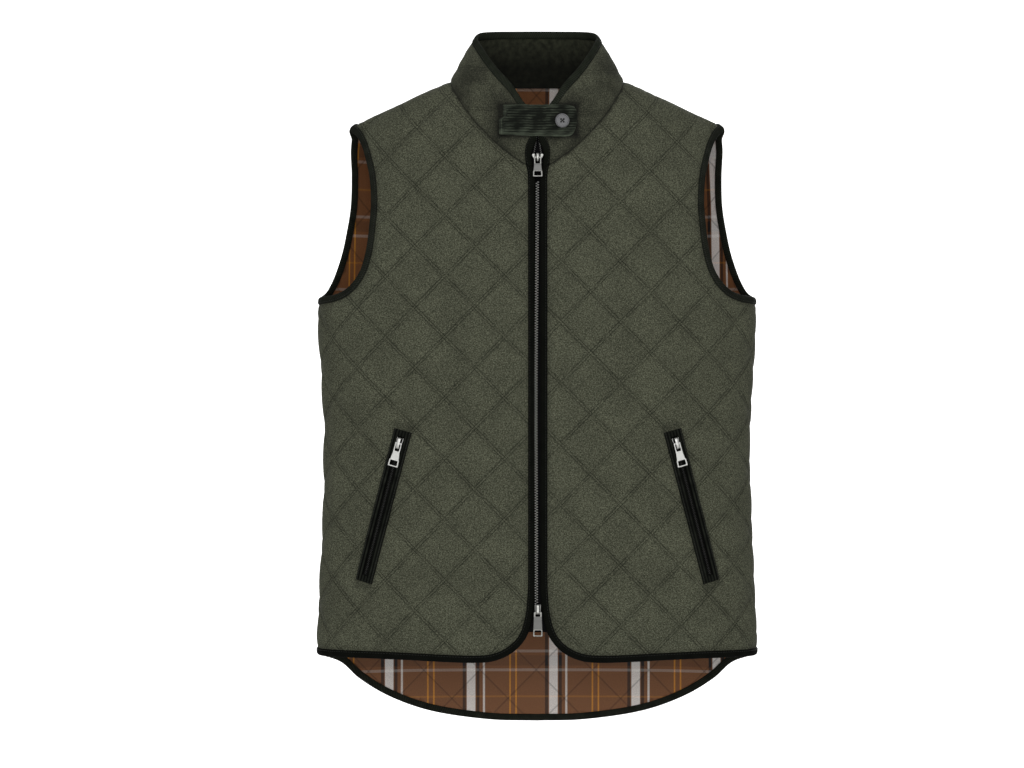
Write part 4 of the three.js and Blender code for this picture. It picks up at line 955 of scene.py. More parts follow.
def collar_at(turn, share):
    """A point of the collar's wall, which runs from the neck seam (share 0) to its top edge (share 1)."""
    turn, share = spread(turn, share)
    near = np.abs(np.where(turn > 180, 360 - turn, turn))
    wearer = np.where((turn > 180) | (turn < 0), RIGHT, LEFT)
    x = neck_half * np.sin(np.radians(near))
    ahead = near <= 90
    z = np.where(ahead, front_neck_z(x), back_neck_z(x))
    y = np.where(ahead, -depth_at(FRONT, x, z), depth_at(BACK, x, z))
    foot = np.stack([x, y, z], axis=-1)
    top = np.stack([
        smooth_through(near, collar_rows[:, 0], collar_rows[:, k], collar_slopes[:, k]) for k in (1, 2, 3)
    ], axis=-1)
    at = foot + (top - foot) * share[..., None]
    at[..., 0] *= wearer
    return at


def place_on_collar(turn, share, t):
    """Points a distance t out from the collar's wall."""
    turn, share, t = spread(turn, share, t)
    probe = np.where(turn < 180, 0.5, -0.5)
    at = collar_at(turn, share)
    round_way = (collar_at(turn + probe, share) - at) / probe[..., None]
    return at + unit(np.cross(round_way, collar_at(turn, share + 0.02) - at)) * t[..., None]


def turn_at_x(x, share):
    """The turn at which the collar's wall stands a given way from the centre front."""
    x, share = spread(x, share)
    low, high = np.zeros(x.shape), np.full(x.shape, 60.0)
    for _ in range(32):
        middle = (low + high) / 2
        short = collar_at(middle, share)[..., 0] < x
        low, high = np.where(short, middle, low), np.where(short, high, middle)
    return (low + high) / 2


neck_edge_z = float(front_neck_z(edge_beside_zip(edge_top)))


def collar_end(share, less=0.0):
    """The turn of the collar's end at a share of its height, less a width towards the zip."""
    z = neck_edge_z + (collar_rows[0, 3] - neck_edge_z) * share
    edge = edge_beside_zip(z)
    return turn_at_x(edge - np.minimum(less, edge - 1.0), share)


def above_stand_line(wall):
    """Height above the faint stitched line round the stand, nearly level with the tops of the shoulders."""
    ahead_x = np.where(wall[..., 1] > 0, neck_half, np.abs(wall[..., 0]))
    return wall[..., 2] - (np.where(wall[..., 0] > 0, 0.5, 4) + 0.1 * ahead_x)


def grid_layer(rows, columns):
    """Faces of one closed layer of cloth over a grid of points."""
    faces = [
        (i * columns + k, (i + 1) * columns + k, (i + 1) * columns + k + 1, i * columns + k + 1)
        for i in range(rows - 1) for k in range(columns - 1)
    ]
    last = (rows - 1) * columns
    rim = [*range(0, last, columns), *range(last, last + columns - 1)]
    rim += [*range(last + columns - 1, columns - 1, -columns), *range(columns - 1, 0, -1)]
    return layer_faces(rows * columns, rim, faces)


collar_top_share = 0.875
collar_columns, collar_heights = 260, 34
tab_middle, tab_reach = (0.5, -49.5), (42, 16.5)  # the throat tab, as it covers the collar
facing_shade_depth = 34  # how far down the inner facing's painted shade goes on deepening


def collar_wall(name, node, foot_share, finish, low, high):
    """One layer of the collar, with the heights of its two faces as functions of turn, share and place."""
    shares = np.linspace(0, 1, collar_heights)
    ends = collar_end(shares * collar_top_share)
    turn = ends + (360 - 2 * ends) * np.linspace(0, 1, collar_columns)[:, None]
    share = foot_share + (collar_top_share - foot_share) * shares[None, :] + 0 * turn
    wall = collar_at(turn, share)
    way = np.cumsum(np.linalg.norm(np.diff(wall, axis=0, prepend=wall[:1]), axis=2), axis=0)
    up = np.cumsum(np.linalg.norm(np.diff(wall, axis=1, prepend=wall[:, :1]), axis=2), axis=1)
    # Painted shade: the cloth is darkened at the seam at its foot, under the binding, and under and round
    # the throat tab, with a broad soft shade round the tab and along the foot.
    down, beside = up[:, -1:] - up, np.minimum(way - way[:1], way[-1:] - way)
    off_tab = np.hypot(*(
        np.clip(np.abs(wall[..., k] - middle) - reach, 0, None)
        for k, middle, reach in zip((0, 2), tab_middle, tab_reach)
    ))
    painted_shade = np.maximum(0.97 * falloff(up, 1.6), 0.3 * falloff(np.minimum(down, beside), 3))
    painted_shade = np.maximum(painted_shade, 0.86 * falloff(off_tab, 4.2) * (wall[..., 1] < 0))
    painted_shade = painted_shade + (1 - painted_shade) * (0.2 * falloff(off_tab, 14) + 0.16 * falloff(up, 9))
    made = new_piece(
        name, "vest", node,
        [place_on_collar(turn, share, height(turn, share, wall)) for height in (low, high)],
        grid_layer(collar_columns, collar_heights), [finish],
        {"cloth": (way[:, [collar_heights // 2]] * MM, up * MM),
         "quilt": (0.5, above_stand_line(wall) / diamond_side),
         "seam": (painted_shade, np.clip(down / facing_shade_depth, 0, 1))},
    )
    area = np.linalg.norm(np.cross(np.gradient(wall, axis=0), np.gradient(wall, axis=1)), axis=2).sum()
    return made, float(area) * MM * MM


def collar_fullness(turn, share, wall):
    """The soft layer fills the stand out between its seams, with slack folds where it bends forward."""
    near = np.minimum(turn, 360 - turn)
    rise = np.sin(np.pi * np.clip(share / collar_top_share, 0, 1)) ** 0.7
    trough = -0.75 * falloff(above_stand_line(wall), 4.0)
    at = np.stack([np.where(turn > 180, turn - 360, turn) * 1.35, share * 62], axis=-1)
    folds = 1.15 * waves(61, at.reshape(-1, 2), 32) + 0.6 * waves(62, at.reshape(-1, 2), 16)
    folds = folds.reshape(turn.shape) * (0.2 + 1.0 * falloff(near - 28, 26))
    # Short puckers stand up from the neck seam.
    pucker = 0.45 * np.sin(near / 2.9 + 1.8 * np.sin(near / 9)) * np.exp(-share * 62 / 10)
    rise = np.minimum(1, rise * 1.25)
    seam = -1.15 * falloff(np.clip(share, 0, 1) * 60, 2.2)
    return 1.6 + 1.3 * rise + rise * (folds + trough + pucker) + seam


def collar_inside(turn, share, wall):
    return -1.9 - 0.5 * np.sin(np.pi * np.clip(share / collar_top_share, 0, 1))


# A copy of the body's wool, darker and with clouds four times as strong: painted shade over the stand.
shaded_collar_wool = wool_twill("shaded_collar_wool_twill", 0.66, 0.4)
collar, _ = collar_wall(
    "collar_stand", "collar", -0.02, shaded_collar_wool, lambda *_: -0.2, collar_fullness)

brushed, tree = new_material("brushed_cotton_facing")  # soft and light-drinking, with a short nap
nap = add_node(tree, "TexNoise", {
    "Vector": add_node(tree, "UVMap", uv_map="cloth")["UV"], "Scale": 150.0, "Detail": 6.0,
    "Roughness": 0.55,
}, noise_dimensions="2D")["Fac"]
tones = add_node(tree, "ValToRGB", {"Fac": nap}, [(0.3, "#191b13"), (0.72, "#313327")])["Color"]
# Painted shade: it gets darker from the top edge down, as if lying in its own shadow.
facing_shade = add_node(tree, "MapRange", {
    "Value": two_of_map(tree, "seam")["Y"], "From Min": 0.1, "To Min": 1.05, "To Max": 0.26,
})["Result"]
toned = add_node(tree, "VectorMath", {0: tones, "Scale": facing_shade}, operation="SCALE")["Vector"]
bump = add_node(tree, "Bump", {"Height": nap, "Strength": 0.35, "Distance": 0.0002})["Normal"]
cotton = add_node(tree, "BsdfPrincipled", {
    "Base Color": toned, "Roughness": 0.95, "IOR": 1.53, "Specular IOR Level": 0.15,
    "Sheen Weight": 0.15, "Sheen Roughness": 0.6, "Sheen Tint": linear("#7c7f70"), "Normal": bump,
})
add_node(tree, "OutputMaterial", {"Surface": cotton["BSDF"]})

facing, facing_area = collar_wall(
    "collar_inner_facing", "collar_facing", -0.075, brushed, collar_inside, lambda *_: -0.3)

# The binding's section on the collar: share 0 at the cloth and 1 at the free edge, and t out from the wall.
collar_tape = ribbed_tape("brushed_collar_tape", "#171a14", "#363b30")
collar_section = np.array([
    (-0.12, -2.3), (0.3, -2.6), (0.7, -2.35), (0.93, -1.5), (1.0, -0.2), (0.95, 1.05), (0.8, 1.9),
    (0.5, 2.45), (0.15, 2.5), (-0.1, 2.25), (-0.14, 1.6),
])
wrap_share = 0.87  # where the binding lies on the cloth along the top edge
half_round = [
    ((float(collar_end(cloth)), cloth), (float(collar_end(free, binding_width)), free))
    for cloth, free in [*((share, share) for share in np.linspace(0.0, 0.86, 34)), (wrap_share, 1.0)]
]
start = half_round[-1][0][0]
over = [((turn, wrap_share), (turn, 1.0)) for turn in np.linspace(start, 360 - start, 240)[1:-1]]
other_half = [tuple((360 - turn, share) for turn, share in pair) for pair in half_round][::-1]
pairs = np.array([*half_round, *over, *other_half])
places = pairs[:, :1] + (pairs[:, 1:] - pairs[:, :1]) * collar_section[:, 0][None, :, None]
lengths = np.arange(len(pairs))
uneven = 0.13 * np.sin(lengths * 1.1 + 2 * np.sin(lengths / 8)) * (collar_section[:, 1] > 0)[:, None]
sections = place_on_collar(places[..., 0], places[..., 1], collar_section[:, 1][None, :] + uneven.T)
# Painted shade: it is darkest where its two ends run down behind the tab to the zip.
behind_tab_shade = np.clip((-58 - sections[..., 2]) / 14, 0, 1) * (sections[..., 1] < 0)
swept_piece("collar_tape", "binding", "collar_binding", sections, collar_tape, seam=(behind_tab_shade, 0))
edge_stitches.clear()
sew_down(sections, corner=8)
stitch_piece("collar_tape_stitches", edge_stitches)


# The front zip: two black woven tapes behind the bindings, nickel teeth clamped to their edges, and two
# sliders, so that it opens from either end. Above the top slider the teeth part, and meet again at the tab.

tape_cloth = ribbed_tape("woven_zip_tape", "#070708", "#19191b")
chain_top, chain_bottom, tooth_pitch = -90, -586, 2.9  # real teeth are 2.2 mm apart
tape_levels = np.linspace(-112, -612, 160)
tape_shares = np.linspace(0.8, 0.02, 30)
tape_in_out = np.array([0.0, 4, 8, 12, 16])
behind_collar, behind_front = -3.4, -2.2
tape_thick = np.array([0, 0.9, 0])
for wearer, name in ((RIGHT, "right"), (LEFT, "left")):
    upper = [place_on_collar(turn_at_x(tape_in_out, share), share, behind_collar) for share in tape_shares]
    lower = [place(FRONT, tape_in_out, z, behind_front) for z in tape_levels]
    middle = np.array(upper + lower)
    middle[:len(upper), 0, 0] = tape_in_out[0]
    middle = middle * (wearer, 1, 1)
    sections = np.concatenate([middle + tape_thick / 2, (middle - tape_thick / 2)[:, ::-1]], axis=1)
    tape = swept_piece(f"woven_tape_{name}", "tape", f"zip_tape_{name}", sections, tape_cloth)


def bright_metal(name, colour, rough, worn):
    """Nickel plate: clear white metal, polished on top and duller where it rubs."""
    made, tree = new_material(name)
    rubbed = add_node(tree, "TexNoise", {"Scale": 900.0, "Detail": 3.0})["Fac"]
    level = add_node(tree, "MapRange", {
        "Value": rubbed, "From Min": 0.35, "From Max": 0.7, "To Min": rough, "To Max": rough + worn,
    })["Result"]
    bump = add_node(tree, "Bump", {"Height": rubbed, "Strength": 0.12, "Distance": 0.00005})["Normal"]
    metal = add_node(tree, "BsdfPrincipled", {
        "Base Color": linear(colour), "Metallic": 1.0, "Roughness": level, "Normal": bump,
    })
    add_node(tree, "OutputMaterial", {"Surface": metal["BSDF"]})
    return made


nickel = bright_metal("polished_nickel", "#a8a8a4", 0.32, 0.12)
brushed_nickel = bright_metal("brushed_nickel", "#8e8e8c", 0.5, 0.15)
# Near-black nickel: painted shade under the sliders' bridges and on their wedges.
shaded_nickel = bright_metal("painted_shade_nickel", "#1c1c1c", 0.45, 0.2)
tooth_metal = bright_metal("satin_nickel_teeth", "#a6a6a2", 0.3, 0.2)
shaded_teeth = bright_metal("parted_nickel_teeth", "#757573", 0.4, 0.2)
# A darker copy of the teeth's nickel for the pocket chains: painted shade, deep in the slots.
slot_shaded_teeth = bright_metal("slot_shaded_nickel_teeth", "#4c4c4b", 0.4, 0.2)
shadowed_teeth = bright_metal("shadowed_nickel_teeth", "#161616", 0.5, 0.2)

# One tooth, as x towards the other tape, z up the zip and t out: a clamp on the tape and a narrower head.
tooth_shape = np.array([
    (-1.9, -0.5), (-1.9, 0.5), (-0.7, 0.6), (0.0, 0.5), (0.15, 0), (0.0, -0.5), (-0.7, -0.6),
])
tooth_rings = [(-0.6, 0.86), (-0.4, 1.0), (1.25, 1.0), (1.6, 0.8)]  # t, and the size of the ring there


def teeth_mesh(name, node, finish, spots, scale, put):
    """Many teeth as one mesh: spots are the way towards the other tape, where it is, and its height."""
    count = len(tooth_shape)
    middle = tooth_shape.mean(axis=0)
    ring_faces = swept_faces(len(tooth_rings), count)
    body = scale * np.vstack([
        np.column_stack([(tooth_shape - middle) * size + middle, np.full(count, t)])
        for t, size in tooth_rings
    ])
    points, faces = [], []
    for towards, across, up in spots:
        base = len(points) * len(body)
        points.append(put(across + towards * body[:, 0], up + body[:, 1], body[:, 2]))
        faces += [tuple(k + base for k in f[::1 if towards > 0 else -1]) for f in ring_faces]
    new_piece(name, "vest", node, points, faces, [finish])


def chain_place(x, z, t):
    """The chain wanders a millimetre or two off the centre, as a sewn-in zip does."""
    return place(FRONT, x - 0.9 * falloff(z + 590, 90) - 2.0 * falloff(z + 370, 190), z, t + 0.15)


def open_place(x, z, t):
    """Above the slider the teeth stand on the tapes, between the collar's two ends."""
    share = (z - neck_edge_z) / (collar_rows[0, 3] - neck_edge_z)
    turn = turn_at_x(np.abs(x), share)
    return place_on_collar(np.where(x < 0, 360 - turn, turn), share, t - 1.6)


closed = [
    (1 if i % 2 else -1, 0, z)
    for i, z in enumerate(np.arange(chain_top - 2, chain_bottom, -tooth_pitch / 2))
]
under_pull = [spot for spot in closed if spot[2] > -117]  # painted shadow of the hanging pull
teeth_mesh("chain_under_pull", None, shadowed_teeth, under_pull, 1.0, chain_place)
teeth_mesh("zip_chain", "zip_teeth", tooth_metal, closed[len(under_pull):], 1.0, chain_place)
parted = []
for i, z in enumerate(np.arange(-52.0, -88.0, -1.1)):
    way = 1 if i % 2 else -1
    apart = 0.5 + 2.9 * np.clip((-66 - z) / 20, 0, 1) ** 1.2
    parted.append((way, -way * apart, float(z)))
teeth_mesh("parted_chain", None, shaded_teeth, parted, 0.9, open_place)


def cast_plate(outline, holes, low, high, round_by=0.35, crown=None, hole_share=1.0):
    """Points and faces of a flat casting with rounded edges, from its outline, holes and two heights."""
    loops, inward = [], []
    for index, loop in enumerate([outline, *holes]):
        loop = np.array(loop, float)
        if (loop_area(loop) < 0) != (index > 0):
            loop = loop[::-1]
        ahead = unit(np.roll(loop, -1, axis=0) - loop)
        both = unit(ahead + np.roll(ahead, 1, axis=0))
        loops.append(loop)
        inward.append(np.stack([-both[:, 1], both[:, 0]], axis=1) * (hole_share if index else 1.0))
    flat_in = round_by + 0.12
    turns = np.radians([90, 60, 30, 0])
    rounded = [(round_by * (1 - math.cos(a)), round_by * (1 - math.sin(a))) for a in turns]
    rings = [(flat_in, low), *((off, low + step) for off, step in rounded)]
    rings += [*((off, high - step) for off, step in rounded[::-1]), (flat_in, high)]
    rise = crown or (lambda at: np.zeros(len(at)))
    points, faces, base, low_ids, top_ids = [], [], 0, [], []
    for loop, way in zip(loops, inward):
        n = len(loop)
        for off, z in rings:
            at = loop + way * off
            points.append(np.column_stack([at, z + rise(at) * (z - low) / (high - low)]))
        for r in range(base, base + (len(rings) - 1) * n, n):
            faces += [(r + k, r + (k + 1) % n, r + n + (k + 1) % n, r + n + k) for k in range(n)]
        low_ids += range(base, base + n)
        base += len(rings) * n
        top_ids += range(base - n, base)
    # The flat top and bottom, between the innermost rings, with a few places inside to hold the crown.
    inner_loops = [loop + way * flat_in for loop, way in zip(loops, inward)]
    corners = zip(inner_loops[0].min(axis=0), inner_loops[0].max(axis=0))
    grid = np.stack(np.meshgrid(*(np.arange(*ends, 0.7) for ends in corners)), axis=-1).reshape(-1, 2)
    spans, at = [], 0
    for index, loop in enumerate(inner_loops):
        grid = grid[(inside_of(loop, grid) != (index > 0)) & (distance_to(loop, grid) > 0.3)]
        spans.append(list(range(at, at + len(loop)))[::-1 if index else 1])
        at += len(loop)
    top_ids += range(base, base + len(grid))
    low_ids += range(base + len(grid), base + 2 * len(grid))
    flat = [Vector(at) for at in np.vstack([*inner_loops, grid])]
    _, _, found, originals, _, owners = delaunay_2d_cdt(flat, [], spans, 1, 1e-6)
    for face, owner in zip(found, owners):
        if not any(loop > 0 for loop in owner):
            own = [originals[k][0] for k in face]
            faces += [tuple(top_ids[k] for k in own), tuple(low_ids[k] for k in own[::-1])]
    points += [np.column_stack([grid, high + rise(grid)]), np.column_stack([grid, np.full(len(grid), low)])]
    return np.vstack(points), faces


def soft_step(at, low, high):
    share = np.clip((at - low) / (high - low), 0, 1)
    return share * share * (3 - 2 * share)


def smooth_loop(half, round_by, steps=6):
    """A closed outline from its right half, listed from the top down, with its corners rounded off."""
    corners = np.array([*half, *[(-x, y) for x, y in reversed(half)]], float)
    made = []
    for k, here in enumerate(corners):
        to_before, to_after = corners[k - 1] - here, corners[(k + 1) % len(corners)] - here
        reach = min(round_by, 0.48 * np.linalg.norm(to_before), 0.48 * np.linalg.norm(to_after))
        a, b = here + unit(to_before) * reach, here + unit(to_after) * reach
        made += [(1 - s) ** 2 * a + 2 * s * (1 - s) * here + s * s * b for s in np.linspace(0, 1, steps)]
    return made


def strap(path, half, thick):
    """Points and faces of a rounded strap along a path in (y, z), with its half width at each place."""
    turns = np.linspace(0, 2 * math.pi, 16, endpoint=False)
    sections = []
    for at, way, wide in zip(path, unit(np.gradient(path, axis=0)), half):
        x = np.sign(np.cos(turns)) * np.abs(np.cos(turns)) ** 0.6 * wide
        r = np.sign(np.sin(turns)) * np.abs(np.sin(turns)) ** 0.8 * thick / 2
        sections.append(np.column_stack([x, at[0] - way[1] * r, at[1] + way[0] * r]))
    return np.vstack(sections), swept_faces(len(sections), len(turns))


hinge_rise = 3.75  # from a slider's lowest face to its hinge
plate_top = -1.75


def zip_frame(wearer, at, up_at, base):
    """A slider's hinge, with its ways across the zip, up along it and out."""
    foot = place(FRONT, wearer * at[0], at[1], 0.0)
    up = unit(place(FRONT, wearer * up_at[0], up_at[1], 0.0) - foot)
    across = unit(np.cross(up, place(FRONT, wearer * at[0], at[1], 1.0) - foot))
    out = np.cross(across, up)
    return foot + out * (base + hinge_rise), np.stack([across, up, out])


def cast_piece(name, body, node, parts, frame, finishes):
    """Castings joined in one piece: each is points, faces and one finish or a finish for each face."""
    hinge, ways = frame
    points, faces, face_finish, base = [], [], [], 0
    for part_points, part_faces, finish in parts:
        if callable(finish):
            finish = finish(np.array([part_points[list(face)].mean(axis=0) for face in part_faces]))
        face_finish.append(np.broadcast_to(finish, len(part_faces)))
        points.append(part_points)
        faces += [tuple(k + base for k in face) for face in part_faces]
        base += len(part_points)
    new_piece(name, body, node, hinge + np.vstack(points) @ ways, faces, finishes, None,
              np.concatenate(face_finish))


slider_finishes = [nickel, brushed_nickel, shaded_nickel]
rubbed_nickel = bright_metal("rubbed_nickel", "#8c8c88", 0.34, 0.12)
pull_finishes = [rubbed_nickel, bright_metal("brushed_pull_nickel", "#7c7c7a", 0.5, 0.15), shaded_nickel]
POLISHED, BRUSHED, DARK = 0, 1, 2

# Half outlines of each slider's top plate, from the top down, as (x, y) from the hinge.
crown_half = [(1.5, 2.4), (2.4, 4.0), (5.2, 4.4), (6.6, 3.4), (5.9, 1.2), (4.7, -0.7), (3.9, -2.8)]
long_half = [(3.3, 8.9), (3.4, 5.0), (3.1, 1.0), (3.2, -2.8)]
pocket_outline = [(3.4, 6.2), (3.8, 4.6), (3.2, 0.5), (3.0, -6.2)]
# Each bridge's side view, as (y, z) from the hinge, and its half width on the way.
bridge_paths = {
    "top": ([(3.9, -1.9), (4.2, -0.4), (4.0, 1.1), (3.0, 2.1), (1.0, 2.35), (-1.0, 2.2), (-2.9, 1.7),
             (-4.1, 0.7), (-4.4, -0.6), (-4.2, -1.9)],
            [1.75, 1.75, 1.7, 1.6, 1.45, 1.25, 1.1, 1.05, 1.0, 1.0]),
    "bottom": ([(8.3, -1.9), (8.6, -0.3), (8.3, 0.9), (7.0, 1.5), (4.5, 1.62), (2.6, 1.7), (0.6, 1.95),
                (-0.9, 1.6), (-1.5, 0.4), (-1.6, -0.9), (-1.4, -1.9)], 1.75),
    "pocket": ([(5.2, -1.9), (5.6, -0.3), (5.3, 1.2), (4.3, 2.1), (2.5, 2.4), (0.0, 2.4), (-2.5, 2.35),
                (-4.4, 1.8), (-5.5, 0.6), (-5.8, -0.6), (-5.6, -1.9)], 1.75),
}


def slider_parts(half, bridge, wing_lift, dark_half):
    """A slider: a top plate with rounded flanges, the wedge beneath it and the bridge for the pull."""
    top, low = (pick(y for _, y in half) for pick in (max, min))
    upper = cast_plate(
        smooth_loop(half, 1.1), [], plate_top - 1.3, plate_top, 0.4,
        crown=lambda at: wing_lift * soft_step(np.abs(at[:, 0]), dark_half - 0.2, dark_half + 1.0))
    wedge = cast_plate(smooth_loop([(1.8, top - 0.6), (1.8, low + 0.6)], 0.8), [],
                       plate_top - 2.0, plate_top - 1.2, 0.2)
    rough, wide = bridge_paths[bridge]
    rough, knots = np.array(rough, float), np.arange(len(rough), dtype=float)
    fine = np.linspace(0, len(rough) - 1, 40)
    path = np.stack([smooth_through(fine, knots, way, chord_slopes(knots, way)) for way in rough.T], axis=1)
    wide = np.interp(fine, knots, np.broadcast_to(wide, len(rough)))

    # Painted shade: the plate under the bridge takes the near-black nickel.
    def recess(middles):
        return np.where(np.abs(middles[:, 0]) < dark_half, DARK, POLISHED)

    return [(*upper, recess), (*wedge, DARK), (*strap(path, wide, 1.0), POLISHED)]


def pull_parts(arm, window, neck, end, length, hole, plate_end, bar_end):
    """A pull: two arms round the bridge, a tapered plate, and a raised rim round the hole at its end."""
    hole_loop = smooth_loop([(end - 1.75, -length + 1.3 + hole), (end - 1.6, -length + 1.3)], 0.8)
    body = cast_plate(
        smooth_loop([(arm - 0.5, 0.72), (arm, 0.1), (arm, neck), (end, -length)], 1.0),
        [smooth_loop([(2.5, -1.15), (2.5, window)], 0.7), hole_loop], -0.55, 0.4, 0.3)
    # The rims are thicker than the plate between them.
    rim_out = smooth_loop([(end - 0.35, plate_end), (end, -length)], 1.1)
    rim = cast_plate(rim_out, [hole_loop], -0.66, 0.8, 0.3)
    bar_out = smooth_loop([(arm, window - 0.2), (arm + 0.05, bar_end)], 0.7)
    neck_bar = cast_plate(bar_out, [], -0.62, 0.62, 0.2)

    def plate(middles):
        return np.where((middles[:, 2] > 0.36) & (middles[:, 1] < window - 0.3), BRUSHED, POLISHED)

    return [(*body, plate), (*rim, POLISHED), (*neck_bar, plate)]


teeth_out = 2.3  # the sliders' lowest face over the chain, out from the body
centre_sliders = {
    "top": (-91.3, crown_half, 0.9, 2.3, dict(
        arm=4.0, window=-7.0, neck=-8.4, end=5.4, length=21.9, hole=4.7, plate_end=-15.0, bar_end=-8.8)),
    "bottom": (-590.2, long_half, 0.3, 2.2, dict(
        arm=4.4, window=-4.2, neck=-6.2, end=5.3, length=26.0, hole=5.4, plate_end=-18.2, bar_end=-9.2)),
}
for name, (z, half, lift, dark_half, pull_sizes) in centre_sliders.items():
    hinge_frame = zip_frame(LEFT, (0, z), (0, z + 3), teeth_out)
    cast_piece(f"slider_{name}", "vest", f"zip_slider_{name}",
               slider_parts(half, name, lift, dark_half), hinge_frame, slider_finishes)
    cast_piece(f"pull_{name}", f"{name}_pull", f"zip_pull_{name}",
               pull_parts(**pull_sizes), hinge_frame, pull_finishes)


# The pockets: a slanted zip in each front between two lips of black ribbed cloth, folded and sewn flat
# on the quilting, with a short closed stretch at each end.

pocket_ribs = ribbed_tape("ribbed_pocket_lips", "#030403", "#2f322b", slant=90, spacing=0.0034)
end_lip, slot_half, lip_high = 8, 2.8, 3.6
lip_foot, slot_floor, rib_pitch = 1.5, 1.9, 1.8
chain_out, slider_out = 2.3, 3.3  # out from the body
hinge_down, tooth_step = 14.4, 0.9

satin_nickel = bright_metal("satin_nickel", "#e6e6e2", 0.42, 0.12)
pocket_finishes = [satin_nickel, satin_nickel, shaded_nickel]
across = np.linspace(-pocket_half, pocket_half, 81)
down = np.r_[np.linspace(0, 12, 21)[:-1], np.linspace(12, pocket_length - 12, 100)[:-1],
             np.linspace(pocket_length - 12, pocket_length, 21)]
grid_down, grid_across = np.meshgrid(down, across, indexing="ij")
to_edge = np.minimum(pocket_half - np.abs(grid_across), np.minimum(grid_down, pocket_length - grid_down))
to_slot = np.maximum(np.abs(grid_across) - slot_half,
                     np.maximum(end_lip - grid_down, grid_down - pocket_length + end_lip))
lips = lip_high - 1.5 * (1 - np.sqrt(np.clip(1 - (1 - np.clip(to_edge / 1.6, 0, 1)) ** 2, 0, 1)))
lips += 0.22 * np.cos(2 * math.pi * grid_across / rib_pitch) * soft_step(to_edge, 0, 1.5)
lips += 0.1 * np.sin(grid_down / 4.7) * soft_step(to_slot, 0, 3)
lips = np.where(to_slot < 0, slot_floor, lips - 1.2 * (1 - soft_step(to_slot, -0.3, 1.8)))
slot_shade = falloff(np.clip(to_slot, 0, None), 0.9)
lip_faces = grid_layer(*lips.shape)
for wearer, name, pull_body in ((RIGHT, "right", "pocket_pull_r"), (LEFT, "left", "pocket_pull_l")):
    at = on_pocket(wearer, grid_down, grid_across)
    base, top = (place(FRONT, at[..., 0], at[..., 1], t) for t in (lip_foot, lips))
    new_piece(f"pocket_lips_{name}", "vest", f"pocket_welt_{name}", [base, top],
              [face[::-wearer] for face in lip_faces], [pocket_ribs],
              {"strip": (grid_down * MM, grid_across * MM), "seam": (slot_shade, 0)})
    out = top - base
    stitch_piece(f"pocket_stitches_{name}", [stitch_row(top[:, k], out[:, k]) for k in (6, -7)])

    def pocket_place(x, z, t, wearer=wearer):
        spot = on_pocket(wearer, z, wearer * x)
        return place(FRONT, spot[..., 0], spot[..., 1], t + chain_out)

    spots = [
        (1 if i % 2 else -1, 0, d)
        for i, d in enumerate(np.arange(end_lip + 1, pocket_length - end_lip - 1, tooth_step))
    ]
    teeth_mesh(f"pocket_chain_{name}", f"pocket_zip_{name}", slot_shaded_teeth, spots, 0.55, pocket_place)
    hinge, above = (on_pocket(1, down, 0) for down in (hinge_down, hinge_down - 3))
    hinge_frame = zip_frame(wearer, hinge, above, slider_out)
    cast_piece(f"pocket_runner_{name}", "vest", f"pocket_slider_{name}",
               slider_parts(pocket_outline, "pocket", 0.2, 3.0), hinge_frame, pocket_finishes)
    cast_piece(f"pocket_tag_{name}", pull_body, f"pocket_pull_{name}", pull_parts(
        arm=3.8, window=-9.0, neck=-10.6, end=5.8, length=26.4, hole=5.6, plate_end=-18.3, bar_end=-10.6,
    ), hinge_frame, pocket_finishes)


# The throat tab: a strap of fine dark corduroy, folded under and sewn down on the wearer's right of the
# collar, and buttoned across to the left.

cord_cloth, tree = new_material("fine_corduroy")  # cut pile in raised ribs, painted lighter on their crests and darker between them: painted highlight and shade
cord_map = add_node(tree, "UVMap", uv_map="strip")["UV"]
rib_level = two_of_map(tree, "rib")
pile = add_node(tree, "Mapping", {"Vector": cord_map, "Scale": (0.25, 1, 1)})["Vector"]
pile, cloud = (
    add_node(tree, "TexNoise", {
        "Vector": at, "Scale": scale, "Detail": 2.0,
    }, noise_dimensions="2D")["Fac"]
    for at, scale in ((pile, 700.0), (cord_map, 60.0))
)
level = pile
for operation, other in (("MULTIPLY", rib_level["X"]), ("MULTIPLY", cloud), ("ADD", rib_level["Y"])):
    level = add_node(tree, "Math", {0: level, 1: other}, operation=operation)["Value"]
tones = add_node(tree, "ValToRGB", {"Fac": level}, [(0.0, "#11140f"), (0.6, "#4e5548")])["Color"]
bump = add_node(tree, "Bump", {"Height": pile, "Strength": 0.3, "Distance": 0.0002})["Normal"]
cotton = add_node(tree, "BsdfPrincipled", {
    "Base Color": tones, "Roughness": 0.92, "IOR": 1.53, "Specular IOR Level": 0.15,
    "Sheen Weight": 0.12, "Sheen Roughness": 0.5, "Sheen Tint": linear("#6f766a"), "Normal": bump,
})
add_node(tree, "OutputMaterial", {"Surface": cotton["BSDF"]})


def collar_seen(x, z):
    """The turn and share of the collar's wall at places seen square on, near the centre front."""
    x, z = spread(x, z)
    low, high = np.zeros(x.shape), np.full(x.shape, 75.0)
    for _ in range(34):
        middle = (low + high) / 2
        foot, top = collar_at(middle, 0.0), collar_at(middle, 1.0)
        share = (z - foot[..., 2]) / (top[..., 2] - foot[..., 2])
        short = (foot + (top - foot) * share[..., None])[..., 0] < np.abs(x)
        low, high = np.where(short, middle, low), np.where(short, high, middle)
    foot, top = collar_at(low, 0.0), collar_at(low, 1.0)
    share = (z - foot[..., 2]) / (top[..., 2] - foot[..., 2])
    return np.where(x < 0, 360 - low, low), share


